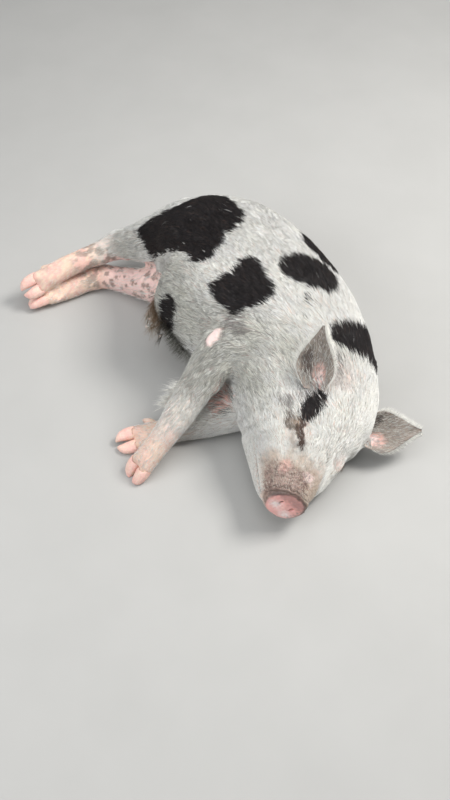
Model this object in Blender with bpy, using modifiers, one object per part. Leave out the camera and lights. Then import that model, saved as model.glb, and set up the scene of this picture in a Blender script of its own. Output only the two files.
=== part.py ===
"""Domestic pig asleep on its left side, life size.

Metres, +Z up, floor at z = 0. +X and +Y lie in the floor: the back curves
round the +X and +Y sides, the legs point to -X and the snout to -Y.
The animal is modelled whole, then parted with thin cuts into named pieces.
"""

import math
import random

import bmesh
import bpy
from mathutils import Matrix, Vector
from mathutils.bvhtree import BVHTree

# Sizes that drive the whole animal.
GAP = 0.0003
VOXEL = 0.0032
FLOOR_SINK = 0.014
HEAD_TRIANGLES = 3300
TRUNK_TRIANGLES = 3900
LIMB_TRIANGLES = 590
TAIL_TRIANGLES = 320
RING_POINTS = 40
LIMB_POINTS = 20

# Head frame: centre of the snout disc, then the way it faces and the two
# directions across it.
DISC_CENTRE = Vector((0.0450, -0.3993, 0.0697))
HEAD_FORWARD = Vector((-0.235, -0.971, -0.050)).normalized()
HEAD_LEFT = Vector((0.637, -0.115, -0.762)).normalized()
DISC_TILT = 0.30
EYE_BACK = 0.103
EYE_SIDE = 0.059
EYE_UP = 0.044
EYE_RADIUS = 0.0105
EYE_SEGMENTS = 14
# Half sizes of the slit between the lids: along it, across it and deep.
LID_SLIT = (0.0135, 0.0016, 0.0065)
LID_THICKNESS = 0.0020
# Mound over each eye, bone of the brow and cheek: how far the brow and the cheek
# sit from the eye, then their half sizes.
LID_SINK = 0.0070
LID_RADII = (0.022, 0.014, 0.0115)
BROW_PLACE = (0.026, 0.050, 0.060)
BROW_SINK = 0.014
BROW_RADII = (0.026, 0.024, 0.018)
CHEEK_PLACE = (0.034, 0.068, -0.016)
CHEEK_RADII = (0.045, 0.032, 0.045)
NOSTRIL_SIDE = 0.0135
NOSTRIL_LEAN = 0.35
NOSTRIL_RADII = (0.011, 0.0044, 0.0066)
# Line of the mouth: first and last distance behind the disc, height, sag, half
# width and depth of the groove.
MOUTH_REACH = (0.012, 0.100)
MOUTH_HEIGHT = -0.033
MOUTH_SAG = 0.012
MOUTH_HALF_WIDTH = 0.0012
MOUTH_DEPTH = 0.0050
MOUTH_STEPS = 9

# Claws, the main pair and the small pair behind it.
CLAW_LENGTH = 0.042
CLAW_HALF_WIDTH = 0.0122
CLAW_SPREAD = 0.0122
CLAW_START = 0.002
# Slices of a claw: share of its length, of its width, and height of its top.
CLAW_SLICES = (
    (-0.25, 0.80, 0.88),
    (0.05, 0.98, 0.96),
    (0.30, 1.02, 0.88),
    (0.55, 0.94, 0.64),
    (0.78, 0.74, 0.28),
    (0.93, 0.46, -0.12),
    (1.00, 0.18, -0.48),
)
# How far the pair closes toward each other at the tips.
CLAW_CLOSE = 0.75
CLAW_POINTS = 12
DEW_LENGTH = 0.020
DEW_HALF_WIDTH = 0.0062
DEW_BACK = 0.030
DEW_SPREAD = 0.0165
# How far the small claws of the fore feet sit round toward the back of the foot.
FORE_DEW_TURN = 0.007

# Partings of the right thigh and the neck: a point of each plane and its way.
THIGH_PLANE = Vector((-0.207, 0.175, 0.116))
THIGH_PLANE_WAY = Vector((-1.0, 0.12, 0.0)).normalized()
HEAD_PLANE = Vector((0.090, -0.226, 0.040))
HEAD_PLANE_WAY = Vector((0.21, -0.95, 0.24)).normalized()
NECK_PLANE = Vector((0.090, -0.166, 0.120))
NECK_PLANE_WAY = Vector((0.26, -0.95, 0.12)).normalized()
OVERLAP = 0.006

EAR_THICKNESS = 0.0030
EAR_COLUMNS = 8
# Half width of an ear at even steps from root to tip, as shares of the widest.
EAR_WIDTHS = (0.55, 0.72, 0.90, 1.00, 1.00, 0.90, 0.74, 0.55, 0.36, 0.19, 0.07)
# How far an ear starts below its root, how deep its cup is at the root and at the
# tip, and how far the tip leans over.
EAR_BURIED = 0.12
EAR_CURL = (0.72, 0.10)
EAR_TIP_LEAN = 0.010
# Each ear: root in the head frame, way to the tip, way the cup faces, length, half
# width and how far its middle line bows sideways.
EARS = (
    ("ear_right", (0.174, -0.085, 0.083), (0.15, 0.70, 0.71), (-0.30, -0.70, 0.62),
     0.110, 0.0320, -0.005),
    ("ear_left", (0.177, 0.087, 0.080), (0.98, 0.16, -0.11), (0.0, -0.55, 0.83),
     0.105, 0.0380, -0.003),
)

# Which way the two toes of each foot lie side by side.
HIND_RIGHT_ACROSS = (0.0, -0.78, -0.62)
HIND_LEFT_ACROSS = (0.0, -0.92, 0.38)
FORE_RIGHT_ACROSS = (0.62, -0.78, 0.0)
FORE_LEFT_ACROSS = (0.20, -0.90, -0.38)

SKIN_PALE = (0.78, 0.74, 0.70, 1.0)
HORN_PINK = (0.82, 0.58, 0.50, 1.0)
EYE_DARK = (0.03, 0.02, 0.015, 1.0)

# Trunk and neck, one row for each slice from rump to head: the back point and
# the belly point in plan, and the height of the upper side.
TRUNK = (
    ((-0.192, 0.170), (-0.198, 0.130), 0.150),
    ((-0.180, 0.192), (-0.194, 0.104), 0.182),
    ((-0.152, 0.209), (-0.190, 0.080), 0.208),
    ((-0.112, 0.224), (-0.180, 0.060), 0.228),
    ((-0.066, 0.232), (-0.176, 0.044), 0.240),
    ((-0.014, 0.228), (-0.178, 0.030), 0.242),
    ((0.038, 0.206), (-0.184, 0.016), 0.245),
    ((0.082, 0.164), (-0.190, 0.001), 0.250),
    ((0.125, 0.104), (-0.192, -0.016), 0.256),
    ((0.162, 0.036), (-0.180, -0.036), 0.259),
    ((0.190, -0.034), (-0.153, -0.067), 0.257),
    ((0.208, -0.104), (-0.116, -0.100), 0.246),
    ((0.216, -0.164), (-0.075, -0.136), 0.224),
    ((0.216, -0.216), (-0.046, -0.188), 0.200),
    ((0.202, -0.256), (-0.034, -0.238), 0.170),
    ((0.176, -0.286), (-0.008, -0.284), 0.125),
)

# Head, one row for each slice: distance behind the disc, top, bottom,
# half width, and how much narrower the brow is than the jaw.
HEAD = (
    (-0.001, 0.025, -0.026, 0.032, 0.00),
    (0.003, 0.030, -0.032, 0.0385, 0.00),
    (0.009, 0.031, -0.035, 0.0395, 0.00),
    (0.016, 0.028, -0.041, 0.0375, 0.05),
    (0.030, 0.030, -0.055, 0.042, 0.10),
    (0.047, 0.036, -0.068, 0.051, 0.16),
    (0.068, 0.045, -0.079, 0.064, 0.22),
    (0.088, 0.056, -0.087, 0.076, 0.26),
    (0.108, 0.072, -0.095, 0.088, 0.28),
    (0.131, 0.092, -0.100, 0.099, 0.28),
    (0.156, 0.109, -0.098, 0.107, 0.27),
    (0.184, 0.121, -0.090, 0.110, 0.24),
    (0.214, 0.125, -0.070, 0.109, 0.20),
    (0.244, 0.118, -0.052, 0.102, 0.15),
    (0.268, 0.098, -0.034, 0.085, 0.10),
)
# The floor presses the left cheek outward: how far, how far back, how long.
CHEEK_PRESS = 0.25
CHEEK_PRESS_BACK = 0.062
CHEEK_PRESS_LENGTH = 0.042

# Limbs, one row for each slice: centre, then half thickness across and upright.
HIND_RIGHT = (
    ((-0.070, 0.150, 0.150), 0.076, 0.072),
    ((-0.125, 0.154, 0.146), 0.077, 0.078),
    ((-0.168, 0.161, 0.130), 0.064, 0.066),
    ((-0.208, 0.174, 0.114), 0.047, 0.047),
    ((-0.242, 0.179, 0.101), 0.037, 0.037),
    ((-0.278, 0.184, 0.090), 0.030, 0.028),
    ((-0.312, 0.174, 0.080), 0.025, 0.023),
    ((-0.346, 0.160, 0.076), 0.022, 0.021),
    ((-0.382, 0.143, 0.069), 0.023, 0.022),
    ((-0.408, 0.129, 0.062), 0.023, 0.021),
    ((-0.428, 0.118, 0.056), 0.022, 0.018),
)
HIND_LEFT = (
    ((-0.110, 0.116, 0.080), 0.070, 0.070),
    ((-0.160, 0.116, 0.060), 0.058, 0.056),
    ((-0.205, 0.119, 0.044), 0.038, 0.042),
    ((-0.242, 0.137, 0.034), 0.030, 0.034),
    ((-0.277, 0.152, 0.028), 0.026, 0.028),
    ((-0.310, 0.162, 0.026), 0.027, 0.026),
    ((-0.344, 0.155, 0.022), 0.025, 0.023),
    ((-0.378, 0.135, 0.020), 0.023, 0.022),
    ((-0.402, 0.124, 0.019), 0.023, 0.020),
    ((-0.420, 0.116, 0.017), 0.022, 0.017),
)
FORE_RIGHT = (
    ((0.030, -0.110, 0.170), 0.070, 0.066),
    ((-0.020, -0.118, 0.172), 0.058, 0.056),
    ((-0.062, -0.138, 0.158), 0.044, 0.044),
    ((-0.090, -0.170, 0.136), 0.036, 0.036),
    ((-0.116, -0.204, 0.112), 0.030, 0.030),
    ((-0.138, -0.232, 0.092), 0.027, 0.027),
    ((-0.158, -0.254, 0.072), 0.023, 0.023),
    ((-0.176, -0.270, 0.054), 0.022, 0.022),
    ((-0.192, -0.283, 0.038), 0.023, 0.021),
    ((-0.202, -0.290, 0.028), 0.021, 0.017),
)
FORE_LEFT = (
    ((0.010, -0.164, 0.052), 0.052, 0.052),
    ((-0.030, -0.178, 0.044), 0.046, 0.050),
    ((-0.068, -0.193, 0.036), 0.037, 0.041),
    ((-0.104, -0.204, 0.027), 0.029, 0.032),
    ((-0.136, -0.210, 0.023), 0.026, 0.028),
    ((-0.162, -0.218, 0.019), 0.022, 0.023),
    ((-0.184, -0.223, 0.018), 0.022, 0.022),
    ((-0.200, -0.227, 0.018), 0.022, 0.020),
    ((-0.212, -0.231, 0.017), 0.020, 0.017),
)
TAIL = (
    ((-0.142, 0.190, 0.132), 0.018, 0.018),
    ((-0.166, 0.220, 0.120), 0.014, 0.014),
    ((-0.188, 0.243, 0.094), 0.0110, 0.0110),
    ((-0.206, 0.254, 0.060), 0.0090, 0.0090),
    ((-0.221, 0.259, 0.030), 0.0072, 0.0072),
    ((-0.238, 0.260, 0.0100), 0.0056, 0.0056),
    ((-0.258, 0.258, 0.0066), 0.0040, 0.0040),
)

# Mounds on the upper side: point of the hock, elbow, shoulder blade and haunch.
MOUNDS = (
    ("Hock", (-0.276, 0.205, 0.094), (0.020, 0.016, 0.018)),
    ("Elbow", (-0.066, -0.124, 0.186), (0.017, 0.015, 0.013)),
    ("Blade", (0.032, -0.080, 0.166), (0.098, 0.088, 0.088)),
    ("Haunch", (-0.085, 0.134, 0.156), (0.098, 0.080, 0.090)),
)
TOE_RADII = (0.017, 0.0125, 0.0150)

# Tufts of long bristle: how deep they are rooted, how thick they are, and their
# slices as shares of the length, the width and the thickness.
LOCK_SEED = 20611
LOCK_ROOT = 0.005
LOCK_THICKNESS = 0.0016
LOCK_SLICES = ((0.0, 0.80, 1.0), (0.40, 1.0, 0.90), (0.75, 0.70, 0.65), (1.0, 0.06, 0.25))
# Rows of tufts: the node, the first and last place they are dropped from, the way
# they drop, the way they lie, then number, length, half width and rise.
FRINGES = (
    # Crest of the back, from the neck to the loin.
    ("torso", (0.300, -0.100, 0.132), (0.300, 0.165, 0.132), (-1.0, -0.1, 0.0),
     (-0.5, 1.0, 0.0), 9, 0.046, 0.0046, 0.0040),
    ("torso", (0.300, -0.084, 0.106), (0.300, 0.140, 0.106), (-1.0, -0.1, 0.0),
     (-0.5, 1.0, 0.0), 7, 0.044, 0.0044, 0.0040),
    ("neck", (0.300, -0.167, 0.142), (0.300, -0.172, 0.096), (-1.0, 0.0, 0.0),
     (0.0, 1.0, 0.0), 3, 0.030, 0.0042, 0.0034),
    # Tuft where the belly ends.
    ("torso", (-0.280, 0.012, 0.112), (-0.280, -0.036, 0.094), (1.0, 0.0, 0.0),
     (-0.3, -0.9, -0.3), 5, 0.032, 0.0036, 0.0110),
    # Wisps behind the upper foreleg.
    ("forearm_right", (-0.205, -0.186, 0.124), (-0.225, -0.226, 0.096), (1.0, 0.2, 0.0),
     (-0.45, -0.8, -0.4), 4, 0.026, 0.0034, 0.0090),
)
# Tassel at the end of the tail.
TASSEL_COUNT = 8
TASSEL_LENGTH = 0.034
TASSEL_HALF_WIDTH = 0.0032

HEAD_UP = HEAD_FORWARD.cross(HEAD_LEFT)
HEAD_AXES = (HEAD_FORWARD, HEAD_LEFT, HEAD_UP)


def head_point(back, left, up):
    """Point given as distance behind the disc, to the animal's left and up."""
    return DISC_CENTRE - back * HEAD_FORWARD + left * HEAD_LEFT + up * HEAD_UP


def eye_axes(side):
    """Along the slit, across it, and outward, for one eye."""
    normal = (side * 0.77 * HEAD_LEFT + 0.62 * HEAD_UP + 0.14 * HEAD_FORWARD).normalized()
    along = HEAD_FORWARD - side * 0.55 * HEAD_LEFT - 0.10 * HEAD_UP
    along = (along - normal * normal.dot(along)).normalized()
    return along, normal.cross(along), normal


def new_object(name, vertices, faces):
    """Object from vertex positions and faces, linked to the scene."""
    mesh = bpy.data.meshes.new(name)
    mesh.from_pydata([tuple(v) for v in vertices], [], faces)
    mesh.update()
    obj = bpy.data.objects.new(name, mesh)
    bpy.context.scene.collection.objects.link(obj)
    return obj


def loft(name, rings):
    """Closed skin over rings of points that all have the same count."""
    count = len(rings[0])
    vertices = [point for ring in rings for point in ring]
    faces = []
    for row in range(len(rings) - 1):
        for i in range(count):
            j = (i + 1) % count
            a = row * count + i
            b = row * count + j
            faces.append((a, b, b + count, a + count))
    for row, order in ((0, -1), (len(rings) - 1, 1)):
        middle = sum((Vector(p) for p in rings[row]), Vector()) / count
        vertices.append(middle)
        tip = len(vertices) - 1
        for i in range(count):
            edge = (row * count + i, row * count + (i + 1) % count)
            faces.append((*edge[::order], tip))
    obj = new_object(name, vertices, faces)
    mend(obj)
    return obj


def mend(obj):
    """Weld doubles and turn every face outward."""
    bm = bmesh.new()
    bm.from_mesh(obj.data)
    bmesh.ops.remove_doubles(bm, verts=bm.verts, dist=0.00002)
    bmesh.ops.dissolve_degenerate(bm, edges=bm.edges, dist=0.00002)
    bmesh.ops.recalc_face_normals(bm, faces=bm.faces)
    bm.to_mesh(obj.data)
    bm.free()


def bake(obj):
    """Turn the modified shape into the object's own mesh."""
    graph = bpy.context.evaluated_depsgraph_get()
    graph.update()
    mesh = bpy.data.meshes.new_from_object(obj.evaluated_get(graph))
    obj.modifiers.clear()
    old = obj.data
    obj.data = mesh
    bpy.data.meshes.remove(old)


def drop(obj):
    """Take a finished helper out of the scene."""
    bpy.data.objects.remove(obj, do_unlink=True)


def boolean(obj, other, operation="DIFFERENCE", solver="EXACT"):
    """Boolean of two closed shapes; the second one is used up."""
    modifier = obj.modifiers.new("Cut", "BOOLEAN")
    modifier.operation = operation
    modifier.solver = solver
    modifier.object = other
    bake(obj)
    drop(other)


def copy_of(obj, name):
    """Independent copy of an object."""
    twin = bpy.data.objects.new(name, obj.data.copy())
    bpy.context.scene.collection.objects.link(twin)
    return twin


def grown(obj, distance):
    """Copy of an object with its skin moved outward."""
    twin = copy_of(obj, obj.name + "_grown")
    modifier = twin.modifiers.new("Grow", "DISPLACE")
    modifier.strength = distance
    modifier.mid_level = 0.0
    bake(twin)
    return twin


def join(name, objects):
    """One object from several meshes."""
    bm = bmesh.new()
    for obj in objects:
        bm.from_mesh(obj.data)
        drop(obj)
    mesh = bpy.data.meshes.new(name)
    bm.to_mesh(mesh)
    bm.free()
    obj = bpy.data.objects.new(name, mesh)
    bpy.context.scene.collection.objects.link(obj)
    return obj


def box(name, low, high):
    """Box between two corners."""
    bm = bmesh.new()
    bmesh.ops.create_cube(bm, size=1.0)
    size = Vector(high) - Vector(low)
    middle = (Vector(high) + Vector(low)) / 2
    for vertex in bm.verts:
        vertex.co = Vector(v * s for v, s in zip(vertex.co, size)) + middle
    mesh = bpy.data.meshes.new(name)
    bm.to_mesh(mesh)
    bm.free()
    obj = bpy.data.objects.new(name, mesh)
    bpy.context.scene.collection.objects.link(obj)
    return obj


def ball(name, centre, radii, axes=None, segments=24):
    """Ellipsoid with half sizes along three given axes."""
    axes = axes or (Vector((1, 0, 0)), Vector((0, 1, 0)), Vector((0, 0, 1)))
    bm = bmesh.new()
    bmesh.ops.create_uvsphere(
        bm, u_segments=segments, v_segments=segments // 2, radius=1.0
    )
    for vertex in bm.verts:
        parts = (axis * r * c for axis, r, c in zip(axes, radii, vertex.co))
        vertex.co = sum(parts, Vector(centre))
    mesh = bpy.data.meshes.new(name)
    bm.to_mesh(mesh)
    bm.free()
    obj = bpy.data.objects.new(name, mesh)
    bpy.context.scene.collection.objects.link(obj)
    mend(obj)
    return obj


def power(value, exponent):
    """Signed power, used for rounded-box outlines."""
    return math.copysign(abs(value) ** exponent, value)


def trunk_shape():
    """Trunk and neck as one skin over the slices."""
    rings = []
    for (bx, by), (vx, vy), top in TRUNK:
        back = Vector((bx, by, 0))
        belly = Vector((vx, vy, 0))
        middle = (back + belly) / 2
        across = (back - belly) / 2
        half_up = (top + FLOOR_SINK) / 2
        ring = []
        for i in range(RING_POINTS):
            angle = 2 * math.pi * i / RING_POINTS
            side = power(math.cos(angle), 0.92)
            up = power(math.sin(angle), 0.86)
            lift = top - half_up + half_up * up
            ring.append(middle + across * side + Vector((0, 0, lift)))
        rings.append(ring)
    return loft("Trunk", rings)


def head_shape():
    """Head from snout disc to neck as one skin over the slices."""
    rings = []
    for back, top, bottom, half, narrow in HEAD:
        spread = ((back - CHEEK_PRESS_BACK) / CHEEK_PRESS_LENGTH) ** 2
        press = 1.0 + CHEEK_PRESS * math.exp(-spread)
        ring = []
        for i in range(RING_POINTS):
            angle = 2 * math.pi * i / RING_POINTS
            square = 0.88 if angle < math.pi else 0.76
            side = power(math.cos(angle), square)
            up = power(math.sin(angle), square)
            height = top * up if up > 0 else -bottom * up
            pinch = 1.0 - narrow * max(up, 0.0) ** 1.5
            if side > 0 and back > 0.02:
                pinch *= press
            lean = DISC_TILT * height * max(0.0, 1.0 - max(back, 0.0) / 0.06)
            ring.append(head_point(back + lean, half * side * pinch, height))
        rings.append(ring)
    return loft("Skull", rings)


def tube(name, rows, points=LIMB_POINTS):
    """Limb-like skin along a path of centres with two half thicknesses."""
    rings = []
    for i, (centre, across, upright) in enumerate(rows):
        ahead = Vector(rows[min(i + 1, len(rows) - 1)][0])
        behind = Vector(rows[max(i - 1, 0)][0])
        along = (ahead - behind).normalized()
        side = Vector((0, 0, 1)).cross(along)
        if side.length < 0.2:
            side = Vector((0, 1, 0)).cross(along)
        side.normalize()
        upward = along.cross(side)
        ring = []
        for k in range(points):
            angle = 2 * math.pi * k / points
            offset = side * math.cos(angle) * across
            offset += upward * math.sin(angle) * upright
            ring.append(Vector(centre) + offset)
        rings.append(ring)
    return loft(name, rings)


def toes(name, rows, lateral):
    """Two rounded toe ends that carry the claws."""
    end, along, side, upward = foot_axes(rows, lateral)
    axes = (along, side, upward)
    made = []
    for sign in (-1, 1):
        centre = end + side * sign * CLAW_SPREAD
        made.append(ball(name, centre, TOE_RADII, axes, 16))
    return made


def claw(name, origin, along, side, upward, length, half_width, close=0.0):
    """Hoof-like claw with a flat sole, drawn in to one side toward its tip."""
    rings = []
    for t, wide, top in CLAW_SLICES:
        ring = []
        for i in range(CLAW_POINTS):
            angle = 2 * math.pi * i / CLAW_POINTS
            across = power(math.cos(angle), 0.8) * wide * half_width
            across += close * max(0.0, t) ** 2 * (1 - wide) * half_width
            rise = power(math.sin(angle), 0.8)
            low = -0.95 * half_width
            high = top * half_width
            height = (low + high) / 2 + rise * (high - low) / 2
            point = Vector(origin) + along * t * length
            ring.append(point + side * across + upward * height)
        rings.append(ring)
    return loft(name, rings)


def foot_axes(rows, lateral):
    """End of a foot, then the ways ahead, across the toes and upward."""
    end = Vector(rows[-1][0])
    along = (end - Vector(rows[-3][0])).normalized()
    side = (Vector(lateral) - along * along.dot(Vector(lateral))).normalized()
    upward = side.cross(along)
    if upward.z < 0:
        upward = -upward
    return end, along, side, upward


def claws(limb, rows, lateral):
    """The two main claws of one foot, named for the limb and their place."""
    end, along, side, upward = foot_axes(rows, lateral)
    size = (CLAW_LENGTH, CLAW_HALF_WIDTH)
    made = []
    for place, sign in (("outer", -1), ("inner", 1)):
        ahead = (along + side * sign * 0.03).normalized()
        out = (side - ahead * ahead.dot(side)).normalized()
        origin = end + side * sign * CLAW_SPREAD + along * CLAW_START
        name = f"claw_{limb}_{place}"
        close = -sign * CLAW_CLOSE
        made.append(claw(name, origin, ahead, out, upward, *size, close))
    return made


def add_dewclaws(foot, rows, lateral, turned=0.0):
    """Fuse the two small claws into a foot; turned moves both to one side."""
    end, along, side, upward = foot_axes(rows, lateral)
    size = (DEW_LENGTH, DEW_HALF_WIDTH)
    for sign in (-1, 1):
        ahead = (along * 0.85 + side * (sign * 0.42 - 12 * turned)).normalized()
        out = (side - ahead * ahead.dot(side)).normalized()
        rise = ahead.cross(out)
        if rise.dot(upward) < 0:
            rise = -rise
        origin = end - along * DEW_BACK + side * (sign * DEW_SPREAD - turned)
        origin -= upward * (0.004 + 0.4 * turned)
        horn = claw("Dewclaw", origin, ahead, out, rise, *size)
        boolean(foot, horn, "UNION", "MANIFOLD")


def remesh(obj, voxel, smooth_rounds):
    """Fuse overlapping forms into one even skin and soften the joins."""
    modifier = obj.modifiers.new("Fuse", "REMESH")
    modifier.mode = "VOXEL"
    modifier.voxel_size = voxel
    bake(obj)
    modifier = obj.modifiers.new("Soften", "SMOOTH")
    modifier.factor = 0.5
    modifier.iterations = smooth_rounds
    bake(obj)


def soften_by_place(obj, rounds, weight_at):
    """Smooth more where the given weight is higher."""
    group = obj.vertex_groups.new(name="soft")
    for vertex in obj.data.vertices:
        group.add([vertex.index], weight_at(vertex.co), "REPLACE")
    modifier = obj.modifiers.new("Soften", "SMOOTH")
    modifier.factor = 0.5
    modifier.iterations = rounds
    modifier.vertex_group = "soft"
    bake(obj)
    obj.vertex_groups.clear()


def thin_out(obj, triangles):
    """Lower the triangle count of a dense skin."""
    now = sum(len(p.vertices) - 2 for p in obj.data.polygons)
    modifier = obj.modifiers.new("Thin", "DECIMATE")
    modifier.decimate_type = "COLLAPSE"
    modifier.ratio = triangles / now
    modifier.use_collapse_triangulate = True
    bake(obj)


def cut_floor(obj):
    """Flatten everything below the floor to one level."""
    boolean(obj, box("Ground", (-1, -1, -0.5), (1, 1, 0.0)))


def block(name, point, way, start, reach, low_side, high_side):
    """Upright block that begins at a plane and reaches along its normal."""
    side = Vector((0, 0, 1)).cross(way).normalized()
    upward = way.cross(side)
    obj = box(name, (start, low_side, -0.4), (start + reach, high_side, 0.4))
    turn = Matrix((way, side, upward)).transposed().to_4x4()
    obj.data.transform(Matrix.Translation(point) @ turn)
    mend(obj)
    return obj


def slab(name, centre, normal, half_size):
    """Thin square cutter across the body at a parting."""
    normal = Vector(normal).normalized()
    turn = Vector((0, 0, 1)).rotation_difference(normal).to_matrix().to_4x4()
    obj = box(
        name, (-half_size, -half_size, -GAP / 2), (half_size, half_size, GAP / 2)
    )
    obj.data.transform(Matrix.Translation(Vector(centre)) @ turn)
    return obj


def is_inside(obj, point):
    """Whether a point lies inside a closed mesh."""
    tree = BVHTree.FromPolygons(
        [v.co for v in obj.data.vertices],
        [tuple(p.vertices) for p in obj.data.polygons],
    )
    direction = Vector((0.13, 0.21, 0.97)).normalized()
    origin = Vector(point)
    hits = 0
    for _ in range(64):
        hit = tree.ray_cast(origin, direction)
        if hit[0] is None:
            break
        hits += 1
        origin = hit[0] + direction * 0.00001
    return hits % 2 == 1


def pieces_of(obj):
    """Split a mesh into its unconnected closed pieces."""
    bm = bmesh.new()
    bm.from_mesh(obj.data)
    bm.verts.ensure_lookup_table()
    seen = set()
    groups = []
    for start in bm.verts:
        if start.index in seen:
            continue
        stack = [start]
        seen.add(start.index)
        group = []
        while stack:
            vertex = stack.pop()
            group.append(vertex.index)
            for edge in vertex.link_edges:
                other = edge.other_vert(vertex)
                if other.index not in seen:
                    seen.add(other.index)
                    stack.append(other)
        groups.append(group)
    made = []
    for group in groups:
        index = {old: new for new, old in enumerate(sorted(group))}
        keep = set(group)
        faces = [
            tuple(index[v.index] for v in f.verts)
            for f in bm.faces
            if f.verts[0].index in keep
        ]
        points = [bm.verts[i].co.copy() for i in sorted(group)]
        made.append(new_object("Piece", points, faces))
    bm.free()
    drop(obj)
    return made


def volume_of(obj):
    """Volume enclosed by a closed mesh."""
    bm = bmesh.new()
    bm.from_mesh(obj.data)
    value = abs(bm.calc_volume())
    bm.free()
    return value


def part(obj, cuts, seeds):
    """Cut a body with slabs and name the pieces by a point inside each."""
    for cut in cuts:
        boolean(obj, cut)
    pieces = sorted(pieces_of(obj), key=volume_of, reverse=True)
    named = {}
    for name, seed in seeds.items():
        for piece in pieces:
            if piece.name not in named and is_inside(piece, seed):
                piece.name = name
                piece.data.name = name
                named[name] = piece
                break
    for piece in pieces:
        if piece.name not in named:
            drop(piece)
    return named


def keep_largest(obj):
    """Keep only the largest closed piece of an object."""
    name = obj.name
    pieces = sorted(pieces_of(obj), key=volume_of, reverse=True)
    for piece in pieces[1:]:
        drop(piece)
    pieces[0].name = name
    pieces[0].data.name = name
    return pieces[0]


def fit_against(obj, others):
    """Cut an object clear of its neighbours by the parting gap."""
    for other in others:
        boolean(obj, grown(other, GAP), "DIFFERENCE", "MANIFOLD")
    return keep_largest(obj)


def surface_path(obj, points, outward_from):
    """Drop points onto the surface, from outside toward a given inner point."""
    tree = BVHTree.FromPolygons(
        [v.co for v in obj.data.vertices],
        [tuple(p.vertices) for p in obj.data.polygons],
    )
    path = []
    for point in points:
        inner = outward_from(point)
        direction = (inner - point).normalized()
        hit, normal, _, _ = tree.ray_cast(point, direction)
        if hit is not None:
            path.append((hit, normal))
    return path


def groove(name, path, half_width, depth):
    """Wedge-shaped cutter that follows a path on the surface."""
    rings = []
    for i, (point, normal) in enumerate(path):
        ahead = path[min(i + 1, len(path) - 1)][0]
        behind = path[max(i - 1, 0)][0]
        along = (ahead - behind).normalized()
        side = normal.cross(along).normalized()
        end = i in (0, len(path) - 1)
        wide = half_width * (0.3 if end else 1.0)
        deep = depth * (0.25 if end else 1.0)
        ring = [
            point + normal * depth * 1.5 + side * wide * 2.2,
            point + normal * depth * 1.5 - side * wide * 2.2,
            point - side * wide,
            point - normal * deep - side * wide * 0.25,
            point - normal * deep + side * wide * 0.25,
            point + side * wide,
        ]
        rings.append(ring)
    return loft(name, rings)


def ear(name, root, axis, facing, length, half_width, bow):
    """Pointed cup of an ear with its hollow turned the given way."""
    axis = Vector(axis).normalized()
    facing = Vector(facing)
    facing = (facing - axis * axis.dot(facing)).normalized()
    side = axis.cross(facing)
    root_curl, tip_curl = EAR_CURL
    vertices = []
    for row, width in enumerate(EAR_WIDTHS):
        s = row / (len(EAR_WIDTHS) - 1)
        curl = (root_curl - tip_curl) * (1 - s) ** 1.3 + tip_curl
        half = half_width * width
        middle = bow * math.sin(math.pi * s)
        for col in range(EAR_COLUMNS + 1):
            x = 2 * col / EAR_COLUMNS - 1
            bend = curl * half * (1 - x * x) - EAR_TIP_LEAN * s * s
            point = Vector(root) + axis * length * (s - EAR_BURIED)
            vertices.append(point + side * (half * x + middle) - facing * bend)
    faces = []
    for row in range(len(EAR_WIDTHS) - 1):
        for col in range(EAR_COLUMNS):
            a = row * (EAR_COLUMNS + 1) + col
            b = a + EAR_COLUMNS + 1
            faces.append((a, a + 1, b + 1, b))
    obj = new_object(name, vertices, faces)
    modifier = obj.modifiers.new("Shell", "SOLIDIFY")
    modifier.thickness = EAR_THICKNESS
    modifier.offset = 0.0
    bake(obj)
    mend(obj)
    return obj


def lock(root, normal, way, length, half_width, rise):
    """Flat tapered tuft, rooted in the hide and bending up and back over it."""
    way = (way - normal * normal.dot(way)).normalized()
    side = way.cross(normal)
    rings = []
    for t, wide, thick in LOCK_SLICES:
        height = rise * math.sin(0.5 * math.pi * t) - LOCK_ROOT * (1 - t) ** 3
        centre = root + way * length * t + normal * height
        reach = side * half_width * wide
        half = normal * LOCK_THICKNESS * 0.5 * thick
        rings.append([centre - reach - half, centre + reach - half, centre + half])
    return loft("Lock", rings)


def fuse_locks(obj, locks):
    """Join tufts to the piece that they grow from."""
    group = bpy.data.collections.new("Locks")
    for tuft in locks:
        group.objects.link(tuft)
    modifier = obj.modifiers.new("Fuse", "BOOLEAN")
    modifier.operation = "UNION"
    modifier.solver = "MANIFOLD"
    modifier.operand_type = "COLLECTION"
    modifier.collection = group
    bake(obj)
    for tuft in locks:
        drop(tuft)
    bpy.data.collections.remove(group)
    cut_floor(obj)
    return keep_largest(obj)


def fringe_locks(obj, first, last, aim, way, count, length, half_width, rise, draw):
    """Row of tufts spread over a stretch of one piece."""
    first = Vector(first)
    last = Vector(last)
    targets = [first.lerp(last, (i + draw.uniform(0.3, 0.7)) / count) for i in range(count)]
    made = []
    for root, normal in surface_path(obj, targets, lambda p: p + Vector(aim)):
        turned = Vector(way) + Vector(draw.uniform(-0.12, 0.12) for _ in range(3))
        size = draw.uniform(0.88, 1.12)
        made.append(lock(root, normal, turned, length * size, half_width, rise * size))
    return made


def tassel_locks(draw):
    """Brush of tufts round the last stretch of the tail."""
    made = []
    for i in range(TASSEL_COUNT):
        share = (i + 0.5) / TASSEL_COUNT
        spot, along = between(TAIL, 5, 6, share)
        turn = 2.4 * i
        out = Vector((0, 0, 1)).cross(along).normalized() * math.cos(turn)
        out = (out + Vector((0, 0, 1)) * abs(math.sin(turn))).normalized()
        way = along + Vector((0, 0, 0.12)) + out * 0.32
        length = TASSEL_LENGTH * draw.uniform(0.75, 1.1)
        made.append(lock(spot + out * 0.003, out, way, length, TASSEL_HALF_WIDTH, 0.004))
    return made


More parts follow.
